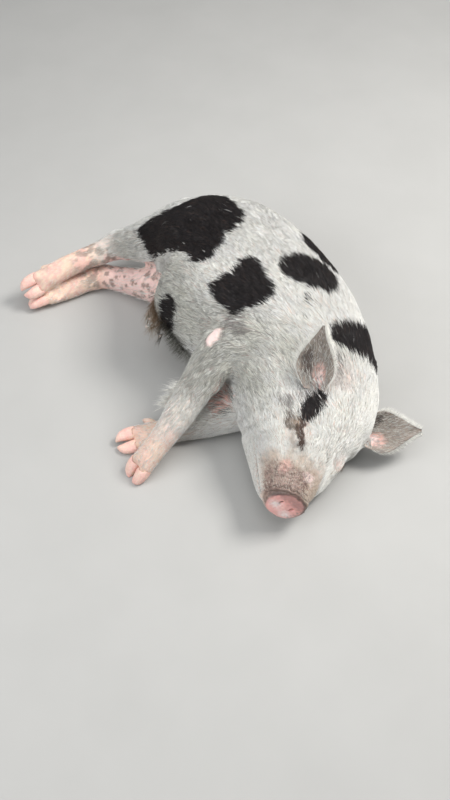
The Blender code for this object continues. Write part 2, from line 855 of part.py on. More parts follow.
def material(name, colour, roughness=0.7):
    """Plain surface finish."""
    made = bpy.data.materials.new(name)
    made.use_nodes = True
    shader = made.node_tree.nodes["Principled BSDF"]
    shader.inputs["Base Color"].default_value = colour
    shader.inputs["Roughness"].default_value = roughness
    made.diffuse_color = colour
    return made


def finish(obj, colour, roughness=0.7):
    """Give an object its own material and smooth shading."""
    obj.data.materials.clear()
    obj.data.materials.append(material(obj.name + "_finish", colour, roughness))
    for polygon in obj.data.polygons:
        polygon.use_smooth = True
    obj.data.set_sharp_from_angle(angle=math.radians(50))


def near_head(point):
    """1 at the snout and face, falling to 0 behind the ears."""
    back = (DISC_CENTRE - point).dot(HEAD_FORWARD)
    up_off = (point - DISC_CENTRE).dot(HEAD_UP)
    side_off = (point - DISC_CENTRE).dot(HEAD_LEFT)
    away = math.hypot(up_off * 0.7, side_off * 0.7)
    reach = max(back, away)
    return min(1.0, max(0.0, (0.20 - reach) / 0.10))


def build_body():
    """Trunk, neck, head and the two upper limbs as one skin."""
    forms = [
        trunk_shape(),
        head_shape(),
        tube("HindRight", HIND_RIGHT),
        tube("ForeRight", FORE_RIGHT),
    ]
    forms += toes("HindToes", HIND_RIGHT, HIND_RIGHT_ACROSS)
    forms += toes("ForeToes", FORE_RIGHT, FORE_RIGHT_ACROSS)
    for name, centre, radii in MOUNDS:
        forms.append(ball(name, centre, radii))
    for side in (-1, 1):
        along, across, normal = eye_axes(side)
        lid = head_point(EYE_BACK, side * EYE_SIDE, EYE_UP) - normal * LID_SINK
        forms.append(ball("Lid", lid, LID_RADII, (along, across, normal)))
        back, out, up = BROW_PLACE
        brow = head_point(EYE_BACK + back, side * out, up) - normal * BROW_SINK
        forms.append(ball("Brow", brow, BROW_RADII, HEAD_AXES))
        back, out, up = CHEEK_PLACE
        cheek = head_point(EYE_BACK + back, side * out, up)
        forms.append(ball("Cheek", cheek, CHEEK_RADII, HEAD_AXES))
    body = join("Body", forms)
    remesh(body, VOXEL, 3)
    soften_by_place(body, 24, lambda p: 1.0 - 0.92 * near_head(p))
    return body


def split_head(body):
    """Part the head from the rest, each thinned out on its own first."""
    head = copy_of(body, "head")
    plane = (HEAD_PLANE, HEAD_PLANE_WAY)
    reach = (0.6, -0.165, 0.40)
    near = block("Near", *plane, -OVERLAP, *reach)
    boolean(head, near, "INTERSECT", "MANIFOLD")
    far = block("Far", *plane, OVERLAP, *reach)
    boolean(body, far, "DIFFERENCE", "MANIFOLD")
    thin_out(head, HEAD_TRIANGLES)
    thin_out(body, TRUNK_TRIANGLES)
    boolean(head, block("Back", *plane, GAP / 2 - reach[0], *reach))
    boolean(body, block("Front", *plane, -GAP / 2, *reach))
    cut_floor(head)
    cut_floor(body)
    return head, body


def build_limb(name, rows, lateral, turned=0.0):
    """One lower limb as its own skin."""
    limb = join(name, [tube(name, rows)] + toes(name, rows, lateral))
    remesh(limb, VOXEL, 6)
    thin_out(limb, LIMB_TRIANGLES)
    add_dewclaws(limb, rows, lateral, turned)
    cut_floor(limb)
    return limb


def between(rows, low, high, share):
    """Point on a limb path and the direction there."""
    a = Vector(rows[low][0])
    b = Vector(rows[high][0])
    return a.lerp(b, share), (b - a).normalized()


def carve_head(head):
    """Mouth line, nostrils, eye sockets with their lid slits, snout folds."""
    cutters = []
    for side in (-1, 1):
        nostril = head_point(0.001, side * NOSTRIL_SIDE, 0.000)
        lean = side * NOSTRIL_LEAN
        axes = (
            HEAD_FORWARD,
            (HEAD_LEFT + lean * HEAD_UP).normalized(),
            (HEAD_UP - lean * HEAD_LEFT).normalized(),
        )
        cutters.append(ball("Nostril", nostril, NOSTRIL_RADII, axes, 12))

        first, last = MOUTH_REACH
        targets = []
        for i in range(MOUTH_STEPS):
            t = i / (MOUTH_STEPS - 1)
            back = first + (last - first) * t
            up = MOUTH_HEIGHT - MOUTH_SAG * t * (1 - t)
            targets.append(head_point(back, side * 0.16, up))
        path = surface_path(
            head,
            targets,
            lambda p: p - HEAD_LEFT * (p - DISC_CENTRE).dot(HEAD_LEFT),
        )
        cutters.append(groove("Mouth", path, MOUTH_HALF_WIDTH, MOUTH_DEPTH))
    for cutter in cutters:
        boolean(head, cutter, "DIFFERENCE", "MANIFOLD")
    return head


def eyes(head):
    """Eyeballs behind closed lids, seen through the slit of each eye."""
    made = []
    for side, name in ((-1, "eye_right"), (1, "eye_left")):
        axes = eye_axes(side)
        normal = axes[2]
        eye_point = head_point(EYE_BACK, side * EYE_SIDE, EYE_UP)
        tree = BVHTree.FromPolygons(
            [v.co for v in head.data.vertices],
            [tuple(p.vertices) for p in head.data.polygons],
        )
        hit = tree.ray_cast(eye_point + normal * 0.1, -normal)[0]
        centre = hit - normal * (EYE_RADIUS + LID_THICKNESS)
        room = EYE_RADIUS + GAP
        socket = ball("Socket", centre, (room, room, room), axes, EYE_SEGMENTS)
        slit = ball("Slit", hit - normal * LID_THICKNESS, LID_SLIT, axes, 12)
        boolean(socket, slit, "UNION", "MANIFOLD")
        boolean(head, socket, "DIFFERENCE", "MANIFOLD")
        size = (EYE_RADIUS, EYE_RADIUS, EYE_RADIUS)
        made.append(ball(name, centre, size, axes, EYE_SEGMENTS))
    return made


def main():
    """Build every piece of the animal."""
    for obj in list(bpy.data.objects):
        bpy.data.objects.remove(obj, do_unlink=True)

    head, body = split_head(build_body())
    cuts = [
        block("CutNeck", NECK_PLANE, NECK_PLANE_WAY, -GAP / 2, GAP, -0.172, 0.25),
        slab("CutThigh", THIGH_PLANE, THIGH_PLANE_WAY, 0.068),
        slab("CutHock", *between(HIND_RIGHT, 5, 6, 0.4), 0.040),
        slab("CutElbow", *between(FORE_RIGHT, 3, 4, 0.4), 0.048),
        slab("CutWrist", *between(FORE_RIGHT, 5, 6, 0.3), 0.034),
    ]
    seeds = {
        "torso": (0.0, 0.05, 0.12),
        "neck": (0.09, -0.19, 0.10),
        "shank_right": HIND_RIGHT[4][0],
        "hindfoot_right": HIND_RIGHT[8][0],
        "forearm_right": Vector(FORE_RIGHT[4][0]),
        "forefoot_right": FORE_RIGHT[7][0],
    }
    nodes = part(body, cuts, seeds)
    nodes["head"] = head
    add_dewclaws(nodes["hindfoot_right"], HIND_RIGHT, HIND_RIGHT_ACROSS)
    add_dewclaws(nodes["forefoot_right"], FORE_RIGHT, FORE_RIGHT_ACROSS, FORE_DEW_TURN)

    hind = build_limb("HindLeft", HIND_LEFT, HIND_LEFT_ACROSS)
    fore = build_limb("ForeLeft", FORE_LEFT, FORE_LEFT_ACROSS, FORE_DEW_TURN)
    hind_side = ("torso", "shank_right", "hindfoot_right")
    fore_side = ("torso", "neck", "head", "forearm_right", "forefoot_right")
    hind = fit_against(hind, [nodes[name] for name in hind_side])
    fore = fit_against(fore, [nodes[name] for name in fore_side])
    nodes.update(
        part(
            hind,
            [slab("CutHock", *between(HIND_LEFT, 4, 5, 0.4), 0.040)],
            {"shank_left": HIND_LEFT[3][0], "hindfoot_left": HIND_LEFT[7][0]},
        )
    )
    nodes.update(
        part(
            fore,
            [slab("CutWrist", *between(FORE_LEFT, 4, 5, 0.3), 0.034)],
            {"forearm_left": FORE_LEFT[3][0], "forefoot_left": FORE_LEFT[6][0]},
        )
    )

    feet = (
        ("hind_right", HIND_RIGHT, HIND_RIGHT_ACROSS, "hindfoot"),
        ("hind_left", HIND_LEFT, HIND_LEFT_ACROSS, "hindfoot"),
        ("fore_right", FORE_RIGHT, FORE_RIGHT_ACROSS, "forefoot"),
        ("fore_left", FORE_LEFT, FORE_LEFT_ACROSS, "forefoot"),
    )
    horns = []
    for limb, rows, lateral, foot in feet:
        for horn in claws(limb, rows, lateral):
            cut_floor(horn)
            touching = [nodes[foot + "_right"], nodes[foot + "_left"]]
            horns.append(fit_against(horn, touching + horns))

    for name, root, *sizes in EARS:
        shape = ear(name, head_point(*root), *sizes)
        cut_floor(shape)
        nodes[name] = fit_against(shape, [head, nodes["neck"]])

    carve_head(head)
    eyeballs = eyes(head)

    tail = tube("tail", TAIL, 12)
    remesh(tail, 0.0025, 3)
    thin_out(tail, TAIL_TRIANGLES)
    draw = random.Random(LOCK_SEED)
    tail = fuse_locks(tail, tassel_locks(draw))
    nodes["tail"] = fit_against(tail, [nodes["torso"]])

    tufts = {}
    for name, *row in FRINGES:
        tufts.setdefault(name, []).extend(fringe_locks(nodes[name], *row, draw))
    for name, made in tufts.items():
        nodes[name] = fuse_locks(nodes[name], made)

    for node in nodes.values():
        finish(node, SKIN_PALE)
    for horn in horns:
        finish(horn, HORN_PINK, 0.5)
    for eye in eyeballs:
        finish(eye, EYE_DARK, 0.15)


main()
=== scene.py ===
"""Looks of a young spotted domestic pig asleep on its left side, life size.

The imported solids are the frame. One skin stands for the flesh, with the folds of
the face carved in and the ears grown on, and a coat of overlapping bristle tufts
lies over it. Skin and coat take their colours from the same markings.
"""

import logging
import math
from dataclasses import dataclass, field
from enum import Enum
from typing import Sequence

import bmesh
import bpy
import numpy as np
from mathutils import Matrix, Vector
from mathutils.bvhtree import BVHTree


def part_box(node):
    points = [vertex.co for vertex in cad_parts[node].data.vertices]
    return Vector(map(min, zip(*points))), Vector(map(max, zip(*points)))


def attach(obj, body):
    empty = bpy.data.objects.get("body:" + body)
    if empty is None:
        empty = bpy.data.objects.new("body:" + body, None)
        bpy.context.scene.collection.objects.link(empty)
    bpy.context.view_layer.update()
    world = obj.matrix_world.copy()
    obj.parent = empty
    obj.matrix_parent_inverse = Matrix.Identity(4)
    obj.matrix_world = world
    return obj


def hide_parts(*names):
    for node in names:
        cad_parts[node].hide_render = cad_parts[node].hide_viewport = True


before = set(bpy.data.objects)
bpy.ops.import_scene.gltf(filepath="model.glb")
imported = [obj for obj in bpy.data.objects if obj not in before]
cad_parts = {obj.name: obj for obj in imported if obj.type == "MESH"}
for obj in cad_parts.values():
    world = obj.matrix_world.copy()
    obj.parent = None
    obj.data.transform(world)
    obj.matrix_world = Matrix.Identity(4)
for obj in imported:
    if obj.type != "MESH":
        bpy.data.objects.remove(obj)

Array = np.ndarray
Object = bpy.types.Object
Material = bpy.types.Material
Draw = np.random.Generator
Pair = tuple[float, float]
Triple = tuple[float, float, float]
Quad = tuple[float, float, float, float]

LOG = logging.getLogger("pig")
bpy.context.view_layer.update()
SEED = 20611
ROOT_BODY = "root"
WELD = 0.00001


# Small number helpers.


def unit(vectors: Array) -> Array:
    """Scale each row to length one."""
    length = np.linalg.norm(vectors, axis=-1, keepdims=True)
    return vectors / np.maximum(length, 1e-9)


def ease(low: float, high: float, values: Array) -> Array:
    """Rise smoothly from 0 at low to 1 at high, which may be below low for a fall."""
    t = np.clip((values - low) / (high - low), 0.0, 1.0)
    return t * t * (3.0 - 2.0 * t)


def bell(values: Array, width: float) -> Array:
    """Bell curve of height one at zero, down to about a third at the width."""
    return np.exp(-((values / width) ** 2))


def metres(rows: Sequence[Sequence[float]]) -> Array:
    """Places or sizes noted in millimetres, in metres to a hundredth of a millimetre."""
    return np.round(np.array(rows) / 1000.0, 5)


def flatten_to(normals: Array, ways: Array) -> Array:
    """Lay directions flat on the surface with the given normals, at length one."""
    return unit(ways - normals * (ways * normals).sum(-1, keepdims=True))


@dataclass(frozen=True)
class Wobble:
    """Smooth repeatable noise made of a few crossing waves."""

    scale: float
    seed: int
    waves: int = 8

    def __call__(self, points: Array) -> Array:
        """Read the noise at some points.

        Args:
            points: Rows of positions in metres.

        Returns:
            One number a point, mostly between -1 and 1.
        """
        draw = np.random.default_rng(self.seed)
        total = np.zeros(len(points))
        for _ in range(self.waves):
            way = unit(draw.normal(size=3))
            pitch = 2.0 * math.pi / self.scale * draw.uniform(0.6, 1.7)
            total += np.sin(points @ way * pitch + draw.uniform(0.0, 6.28))
        return total / math.sqrt(self.waves)


@dataclass(frozen=True)
class Spots:
    """Round spots strewn through space, one to each cube of a lattice."""

    pitch: float
    seed: int
    radius: Pair = (0.26, 0.52)
    soft: float = 0.05
    bend: float = 0.16
    keys: tuple[Triple, ...] = (
        (12.99, 78.23, 37.72), (39.34, 11.13, 83.15), (73.16, 52.24, 9.15), (26.65, 64.48, 94.67),
    )
    scatter: float = 43758.5453

    def __call__(self, points: Array) -> Array:
        """Tell how far the spots cover some points.

        Args:
            points: Rows of positions.

        Returns:
            Numbers from 0 to 1.
        """
        place = points / self.pitch
        bend = self.bend * Wobble(0.4 * self.pitch, self.seed)(points)
        place = place + bend[:, None] * np.array((0.7, -0.5, 0.5))
        cube = np.floor(place)
        inside = np.full(len(points), -1.0)
        keys = np.array(self.keys)
        small, large = self.radius
        for step in np.ndindex(3, 3, 3):
            cell = cube + np.array(step) - 1.0
            draw = np.mod(np.sin(cell @ keys.T + self.seed) * self.scatter, 1.0)
            gap = np.linalg.norm(place - cell - draw[:, :3], axis=1)
            inside = np.maximum(inside, small + (large - small) * draw[:, 3] - gap)
        return ease(-self.soft, self.soft, inside)


def between(rows: Array, place: Array) -> Array:
    """Read rows of values at places between them.

    Args:
        rows: Values at the steps 0, 1, 2 and on.
        place: Where to read, in steps.

    Returns:
        A row of values for each place.
    """
    low = np.minimum(place.astype(int), len(rows) - 2)
    share = (place - low)[:, None]
    return rows[low] * (1 - share) + rows[low + 1] * share


# Anatomy: where a point of the hide is and which way its bristles lie.


class Region(Enum):
    """Stretches of the animal, each with its own guide line."""

    TRUNK = 0
    HEAD = 1
    HIND_RIGHT = 2
    HIND_LEFT = 3
    FORE_RIGHT = 4
    FORE_LEFT = 5
    TAIL = 6
    EAR_RIGHT = 7
    EAR_LEFT = 8


LEGS = (Region.HIND_RIGHT, Region.HIND_LEFT, Region.FORE_RIGHT, Region.FORE_LEFT)


@dataclass(frozen=True)
class HeadAxes:
    """The frame of the head: centre of the snout disc and three directions."""

    centre: Triple = (0.045, -0.3993, 0.0697)
    ahead_way: Triple = (-0.235, -0.971, -0.05)
    left_way: Triple = (0.637, -0.115, -0.762)
    disc_half: Pair = (0.037, 0.03)
    disc_drop: float = 0.001

    @property
    def ahead(self) -> Array:
        """Direction the snout points."""
        return unit(np.array(self.ahead_way))

    @property
    def left(self) -> Array:
        """Direction to the left side of the face."""
        return unit(np.array(self.left_way))

    @property
    def up(self) -> Array:
        """Direction out of the forehead."""
        return np.cross(self.ahead, self.left)

    def local(self, points: Array) -> Array:
        """Turn world positions into distances behind the disc, left and up."""
        offset = points - np.array(self.centre)
        return np.stack(
            (-(offset @ self.ahead), offset @ self.left, offset @ self.up), axis=-1
        )

    def world(self, behind: float, left: float, up: float) -> Array:
        """World position of a place given in the head's own distances."""
        offset = -behind * self.ahead + left * self.left + up * self.up
        return np.array(self.centre) + offset

    def disc_reach(self, local: Array) -> Array:
        """Distance from the middle of the snout disc, one at its rim."""
        _, left, up = local.T
        return np.hypot(left / self.disc_half[0], (up + self.disc_drop) / self.disc_half[1])


HEAD = HeadAxes()


@dataclass(frozen=True)
class GuideLine:
    """A line down the middle of a stretch and the thickness round it, in millimetres."""

    region: Region
    points: tuple[Triple, ...]
    radii: tuple[float, ...]

    def read(self, where: Array) -> tuple[Array, Array, Array, Array]:
        """Find the nearest place of the line for each position.

        Args:
            where: Rows of world positions.

        Returns:
            Distance in radii, place along from 0 to 1, tangent, foot point.
        """
        line = metres(self.points)
        size = metres(self.radii)
        ahead = unit(np.gradient(line, axis=0))
        count = len(line) - 1
        best = np.full(len(where), np.inf)
        along = np.zeros(len(where))
        for i in range(count):
            step = line[i + 1] - line[i]
            t = np.clip((where - line[i]) @ step / (step @ step), 0.0, 1.0)
            gap = np.linalg.norm(where - line[i] - t[:, None] * step, axis=1)
            gap = gap / (size[i] + t * (size[i + 1] - size[i]))
            closer = gap < best
            best = np.where(closer, gap, best)
            along = np.where(closer, (i + t) / count, along)
        place = along * count
        return best, along, unit(between(ahead, place)), between(line, place)


GUIDES = (
    GuideLine(Region.TRUNK, (
        (90, -283, 60), (85, -202, 100), (46, -102, 120), (-14, 0, 125), (-64, 90, 120),
        (-107, 132, 115), (-150, 145, 105), (-185, 150, 85),
    ), (90, 110, 130, 130, 125, 115, 95, 70)),
    GuideLine(
        Region.HEAD,
        ((45, -399.3, 69.7), (54.5, -360.5, 71.6), (68.5, -302.2, 74.6), (85, -234.3, 78.1)),
        (34, 42, 80, 105),
    ),
    GuideLine(Region.HIND_RIGHT, (
        (-125, 154, 146), (-168, 161, 130), (-208, 171, 114), (-242, 179, 101), (-278, 184, 90),
        (-312, 174, 80), (-346, 160, 76), (-382, 143, 69), (-431, 116, 55),
    ), (75, 64, 50, 37, 29, 24, 21, 22, 20)),
    GuideLine(Region.HIND_LEFT, (
        (-160, 116, 60), (-205, 119, 44), (-242, 137, 34), (-277, 152, 28), (-310, 162, 26),
        (-344, 155, 22), (-378, 135, 20), (-423, 115, 17),
    ), (50, 44, 36, 30, 25, 22, 22, 20)),
    GuideLine(Region.FORE_RIGHT, (
        (-20, -118, 172), (-62, -138, 158), (-90, -170, 136), (-116, -204, 112),
        (-138, -232, 92), (-158, -254, 72), (-176, -270, 54), (-206, -294, 26),
    ), (50, 42, 35, 30, 26, 23, 22, 20)),
    GuideLine(Region.FORE_LEFT, (
        (-30, -178, 44), (-68, -193, 36), (-104, -204, 27), (-136, -210, 23), (-162, -218, 19),
        (-184, -223, 18), (-216, -232, 17),
    ), (44, 38, 30, 27, 22, 22, 20)),
    GuideLine(Region.TAIL, (
        (-155, 206, 128), (-188, 243, 94), (-206, 254, 60), (-221, 259, 30), (-238, 260, 10),
        (-258, 258, 6.6),
    ), (15, 11, 9, 7.2, 5.6, 4)),
)


@dataclass(frozen=True)
class EarShape:
    """One ear as a pointed cup: root in head distances, way to tip, way it faces.

    Flush and shade are ovals of pink and of dark in the cup: the middle along the
    ear and across it, then half the size along and across.
    """

    name: str
    region: Region
    root: Triple
    way: Triple
    face: Triple
    length: float
    half_width: float
    bow: float
    flush: Quad
    shade: Quad
    thickness: float = 0.0024
    widths: tuple[float, ...] = (
        0.55, 0.72, 0.9, 1.0, 1.0, 0.9, 0.74, 0.55, 0.36, 0.19, 0.05,
    )

    @property
    def axis(self) -> Array:
        """Direction from root to tip."""
        return unit(np.array(self.way))

    @property
    def facing(self) -> Array:
        """Direction the open side of the cup looks."""
        return flatten_to(self.axis[None], np.array(self.face)[None])[0]

    @property
    def side(self) -> Array:
        """Direction across the ear."""
        return np.cross(self.axis, self.facing)

    def half(self, s: Array) -> Array:
        """Half width at shares of the length."""
        steps = np.linspace(0.0, 1.0, len(self.widths))
        return self.half_width * np.interp(s, steps, self.widths)

    def middle(self, s: Array, x: Array) -> Array:
        """Position on the middle sheet of the ear.

        Args:
            s: Share of the length from root to tip.
            x: Place across, from -1 to 1.

        Returns:
            World positions.
        """
        half = self.half(s)
        curl = 0.62 * np.clip(1.0 - s, 0.0, 1.0) ** 1.3 + 0.1
        bend = curl * half * (1.0 - x * x) - 0.01 * s * s
        ripple = 0.0012 * np.sin(9.0 * s + 4.0 * x) * np.abs(x) ** 2
        root = HEAD.world(*self.root)
        point = root + self.axis * (self.length * (s - 0.12))[..., None]
        sideways = half * x + self.bow * np.sin(math.pi * s)
        point = point + self.side * sideways[..., None]
        return point - self.facing * (bend + ripple)[..., None]

    def build(self, rows: int = 44, columns: int = 26) -> Object:
        """Make the ear as a closed shell with thin edges.

        Args:
            rows: Steps from root to tip.
            columns: Steps across.

        Returns:
            The ear as its own mesh object.
        """
        s, x = np.meshgrid(
            np.linspace(0.0, 1.0, rows), np.linspace(-1.0, 1.0, columns), indexing="ij"
        )
        middle = self.middle(s, x)
        along = np.gradient(middle, axis=0)
        across = np.gradient(middle, axis=1)
        normal = unit(np.cross(along, across))
        thick = self.thickness * (0.25 + 0.75 * np.sqrt(np.clip(1 - x * x, 0, 1)))
        thick = thick * (1.25 - 0.75 * s)
        front = middle + normal * (thick / 2)[..., None]
        back = middle - normal * (thick / 2)[..., None]
        vertices = np.concatenate((front.reshape(-1, 3), back.reshape(-1, 3)))
        count = rows * columns
        index = np.arange(count).reshape(rows, columns)
        faces = []
        for i in range(rows - 1):
            for j in range(columns - 1):
                a, b = index[i, j], index[i, j + 1]
                c, d = index[i + 1, j + 1], index[i + 1, j]
                faces.append((a, b, c, d))
                faces.append((a + count, d + count, c + count, b + count))
        rim = list(index[0]) + list(index[1:, -1])
        rim += list(index[-1, :-1][::-1]) + list(index[1:-1, 0][::-1])
        for a, b in zip(rim, rim[1:] + rim[:1]):
            faces.append((a, a + count, b + count, b))
        mesh = bpy.data.meshes.new(self.name)
        mesh.from_pydata(vertices.tolist(), [], faces)
        bm = bmesh.new()
        bm.from_mesh(mesh)
        bmesh.ops.recalc_face_normals(bm, faces=bm.faces)
        bm.to_mesh(mesh)
        bm.free()
        return link(self.name, mesh)

    def place(self, points: Array) -> tuple[Array, Array, Array]:
        """Find where points lie on the ear.

        Args:
            points: Rows of world positions.

        Returns:
            Share of the length, place across, and height off the middle sheet.
        """
        offset = points - HEAD.world(*self.root)
        s = offset @ self.axis / self.length + 0.12
        half = np.maximum(self.half(np.clip(s, 0, 1)), 0.002)
        x = (offset @ self.side - self.bow * np.sin(math.pi * np.clip(s, 0, 1))) / half
        middle = self.middle(np.clip(s, 0, 1), np.clip(x, -1, 1))
        off = (points - middle) @ self.facing
        return s, x, off

    def holds(self, points: Array) -> Array:
        """Which points belong to the free part of the ear."""
        s, x, off = self.place(points)
        return (s > 0.16) & (s < 1.05) & (np.abs(x) < 1.15) & (np.abs(off) < 0.0042)


EARS = (
    EarShape(
        "ear_skin_right",
        Region.EAR_RIGHT,
        root=(0.174, -0.085, 0.083), way=(0.15, 0.7, 0.71), face=(-0.3, -0.7, 0.62),
        length=0.109, half_width=0.0315, bow=-0.005, flush=(0.2, 0.2, 0.26, 0.46),
        shade=(0.42, -0.5, 0.24, 0.3),
    ),
    EarShape(
        "ear_skin_left",
        Region.EAR_LEFT,
        root=(0.177, 0.087, 0.08), way=(0.98, 0.16, -0.11), face=(0.0, -0.55, 0.83), length=0.104,
        half_width=0.037, bow=-0.003, flush=(0.21, 0.36, 0.24, 0.42),
        shade=(0.22, -0.55, 0.18, 0.3),
    ),
)


@dataclass(frozen=True)
class EyePlace:
    """One closed eye: its middle on the solids and the axes of its slit."""

    node: str
    side: int

    @property
    def centre(self) -> Array:
        """Middle of the eyeball."""
        low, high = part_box(self.node)
        return np.array((low + high) / 2)

    @property
    def outward(self) -> Array:
        """Direction out of the face."""
        return unit(self.side * 0.77 * HEAD.left + 0.62 * HEAD.up + 0.14 * HEAD.ahead)

    @property
    def along(self) -> Array:
        """Direction of the slit, toward the snout."""
        way = HEAD.ahead - self.side * 0.55 * HEAD.left - 0.1 * HEAD.up
        return flatten_to(self.outward[None], way[None])[0]

    @property
    def upper(self) -> Array:
        """Direction across the slit, toward the upper lid."""
        way = np.cross(self.outward, self.along)
        return way * (1.0 if way @ HEAD.up > 0 else -1.0)

    def far(self, points: Array) -> Array:
        """Distance from the middle of the eyeball."""
        return np.linalg.norm(points - self.centre, axis=1)

    def local(self, points: Array) -> tuple[Array, Array, Array]:
        """Distances along the slit, toward the upper lid and outward."""
        offset = points - self.centre
        return offset @ self.along, offset @ self.upper, offset @ self.outward


EYES = (EyePlace("eye_right", -1), EyePlace("eye_left", 1))


@dataclass
class Site:
    """What is known about some points of the hide."""

    points: Array
    region: Array
    along: Array
    angle: Array
    lie: Array
    head: Array

    def within(self, *regions: Region) -> Array:
        """Which points belong to any of some stretches."""
        return np.isin(self.region, [region.value for region in regions])


class Anatomy:
    """Tells the stretch, the place on it and the lie of the coat anywhere."""

    blend: float = 7.0
    belly_way: Triple = (-0.75, -0.55, -0.35)
    belly_sweep: float = 0.34
    face_fan: float = 0.42

    def site(self, points: Array, normals: Array) -> Site:
        """Read the anatomy at points of the hide.

        Args:
            points: Rows of world positions.
            normals: Surface normals there.

        Returns:
            Everything the markings and the coat need to know.
        """
        weights = []
        tangents = []
        places = []
        angles = []
        for guide in GUIDES:
            gap, along, tangent, foot = guide.read(points)
            weights.append(1.0 / (0.15 + gap) ** self.blend)
            tangents.append(tangent)
            places.append(along)
            across = flatten_to(tangent, np.tile((0.0, 0.0, 1.0), (len(points), 1)))
            beside = np.cross(tangent, across)
            spoke = points - foot
            angle = np.arctan2((spoke * beside).sum(-1), (spoke * across).sum(-1))
            angles.append(angle / (2 * math.pi) + 0.5)
        weight = np.array(weights)
        weight /= weight.sum(0)
        region = weight.argmax(0)
        order = np.arange(len(points))
        along = np.array(places)[region, order]
        angle = np.array(angles)[region, order]
        lie = (weight[..., None] * np.array(tangents)).sum(0)
        head = HEAD.local(points)
        trunk = weight[Region.TRUNK.value][:, None]
        lie = lie + self.belly_sweep * trunk * unit(np.array(self.belly_way))
        spread = np.clip(head[:, 1] / 0.07, -1.0, 1.0) * self.face_fan
        lie = lie + weight[Region.HEAD.value][:, None] * spread[:, None] * HEAD.left
        for ear in EARS:
            s, x, off = ear.place(points)
            held = ear.holds(points)
            region = np.where(held, ear.region.value, region)
            along = np.where(held, s, along)
            angle = np.where(held, 0.5 + x * 0.2 * np.sign(off + 1e-9), angle)
            way = ear.axis + 0.45 * ear.side * x[:, None]
            lie = np.where(held[:, None], way, lie)
        return Site(points, region, along, angle, flatten_to(normals, lie), head)


ANATOMY = Anatomy()


# Markings, shared by the skin and the coat.


@dataclass(frozen=True)
class Patch:
    """A patch of the pattern as rounds that melt together: x, y, z, radius in millimetres."""

    rounds: tuple[Quad, ...]
    ragged: float = 0.0016
    soft: float = 0.0018
    melt: float = 0.0035

    def cover(self, points: Array, widen: float = 0.0) -> Array:
        """How far the patch covers each point.

        Args:
            points: Rows of world positions.
            widen: Distance the patch is grown by.

        Returns:
            Numbers from 0 to 1.
        """
        total = np.zeros(len(points))
        for x, y, z, radius in metres(self.rounds):
            inside = radius - np.linalg.norm(points - np.array((x, y, z)), axis=1)
            total += np.exp(np.clip(inside / self.melt, -40.0, 20.0))
        edge = self.melt * np.log(np.maximum(total, 1e-18)) + widen
        edge = edge + self.ragged * Wobble(0.022, 5)(points)
        edge = edge + 0.5 * self.ragged * Wobble(0.008, 6)(points)
        return ease(-self.soft, self.soft, edge)


@dataclass(frozen=True)
class Blotch:
    """A patch of the pattern as a closed line drawn on the hide, in millimetres."""

    line: tuple[Triple, ...]
    ragged: float = 0.002
    soft: float = 0.002
    reach: float = 0.07
    rounds: int = 2

    def plane(self) -> tuple[Array, Array]:
        """Middle of the line, and two directions across it with one out of it."""
        corners = metres(self.line)
        middle = corners.mean(0)
        return middle, np.linalg.svd(corners - middle)[2]

    def corners(self, middle: Array, axes: Array) -> Array:
        """The line on its own plane with its corners cut off."""
        flat = (metres(self.line) - middle) @ axes[:2].T
        for _ in range(self.rounds):
            after = np.roll(flat, -1, axis=0)
            cut = np.stack((0.75 * flat + 0.25 * after, 0.25 * flat + 0.75 * after), 1)
            flat = cut.reshape(-1, 2)
        return flat

    def cover(self, points: Array, widen: float = 0.0) -> Array:
        """How far the patch covers each point.

        Args:
            points: Rows of world positions.
            widen: Distance the patch is grown by.

        Returns:
            Numbers from 0 to 1.
        """
        middle, axes = self.plane()
        flat = self.corners(middle, axes)
        size = np.linalg.norm(flat, axis=1).max() + abs(widen) + 0.01
        offset = (points - middle) @ axes.T
        near = (np.linalg.norm(offset[:, :2], axis=1) < size) & (np.abs(offset[:, 2]) < self.reach)
        place = offset[near][:, :2]
        gap = np.full(len(place), np.inf)
        inside = np.zeros(len(place), bool)
        for start, end in zip(flat, np.roll(flat, -1, axis=0)):
            step = end - start
            t = np.clip((place - start) @ step / (step @ step), 0.0, 1.0)
            gap = np.minimum(gap, np.linalg.norm(place - start - t[:, None] * step, axis=1))
            crosses = (place[:, 1] < start[1]) != (place[:, 1] < end[1])
            rise = step[1] if abs(step[1]) > 1e-12 else 1e-12
            meets = start[0] + (place[:, 1] - start[1]) / rise * step[0]
            inside ^= crosses & (place[:, 0] < meets)
        edge = np.where(inside, gap, -gap) + widen
        edge = edge + self.ragged * Wobble(0.02, 5)(points[near])
        edge = edge + 0.6 * self.ragged * Wobble(0.007, 6)(points[near])
        result = np.zeros(len(points))
        result[near] = ease(-self.soft, self.soft, edge)
        return result


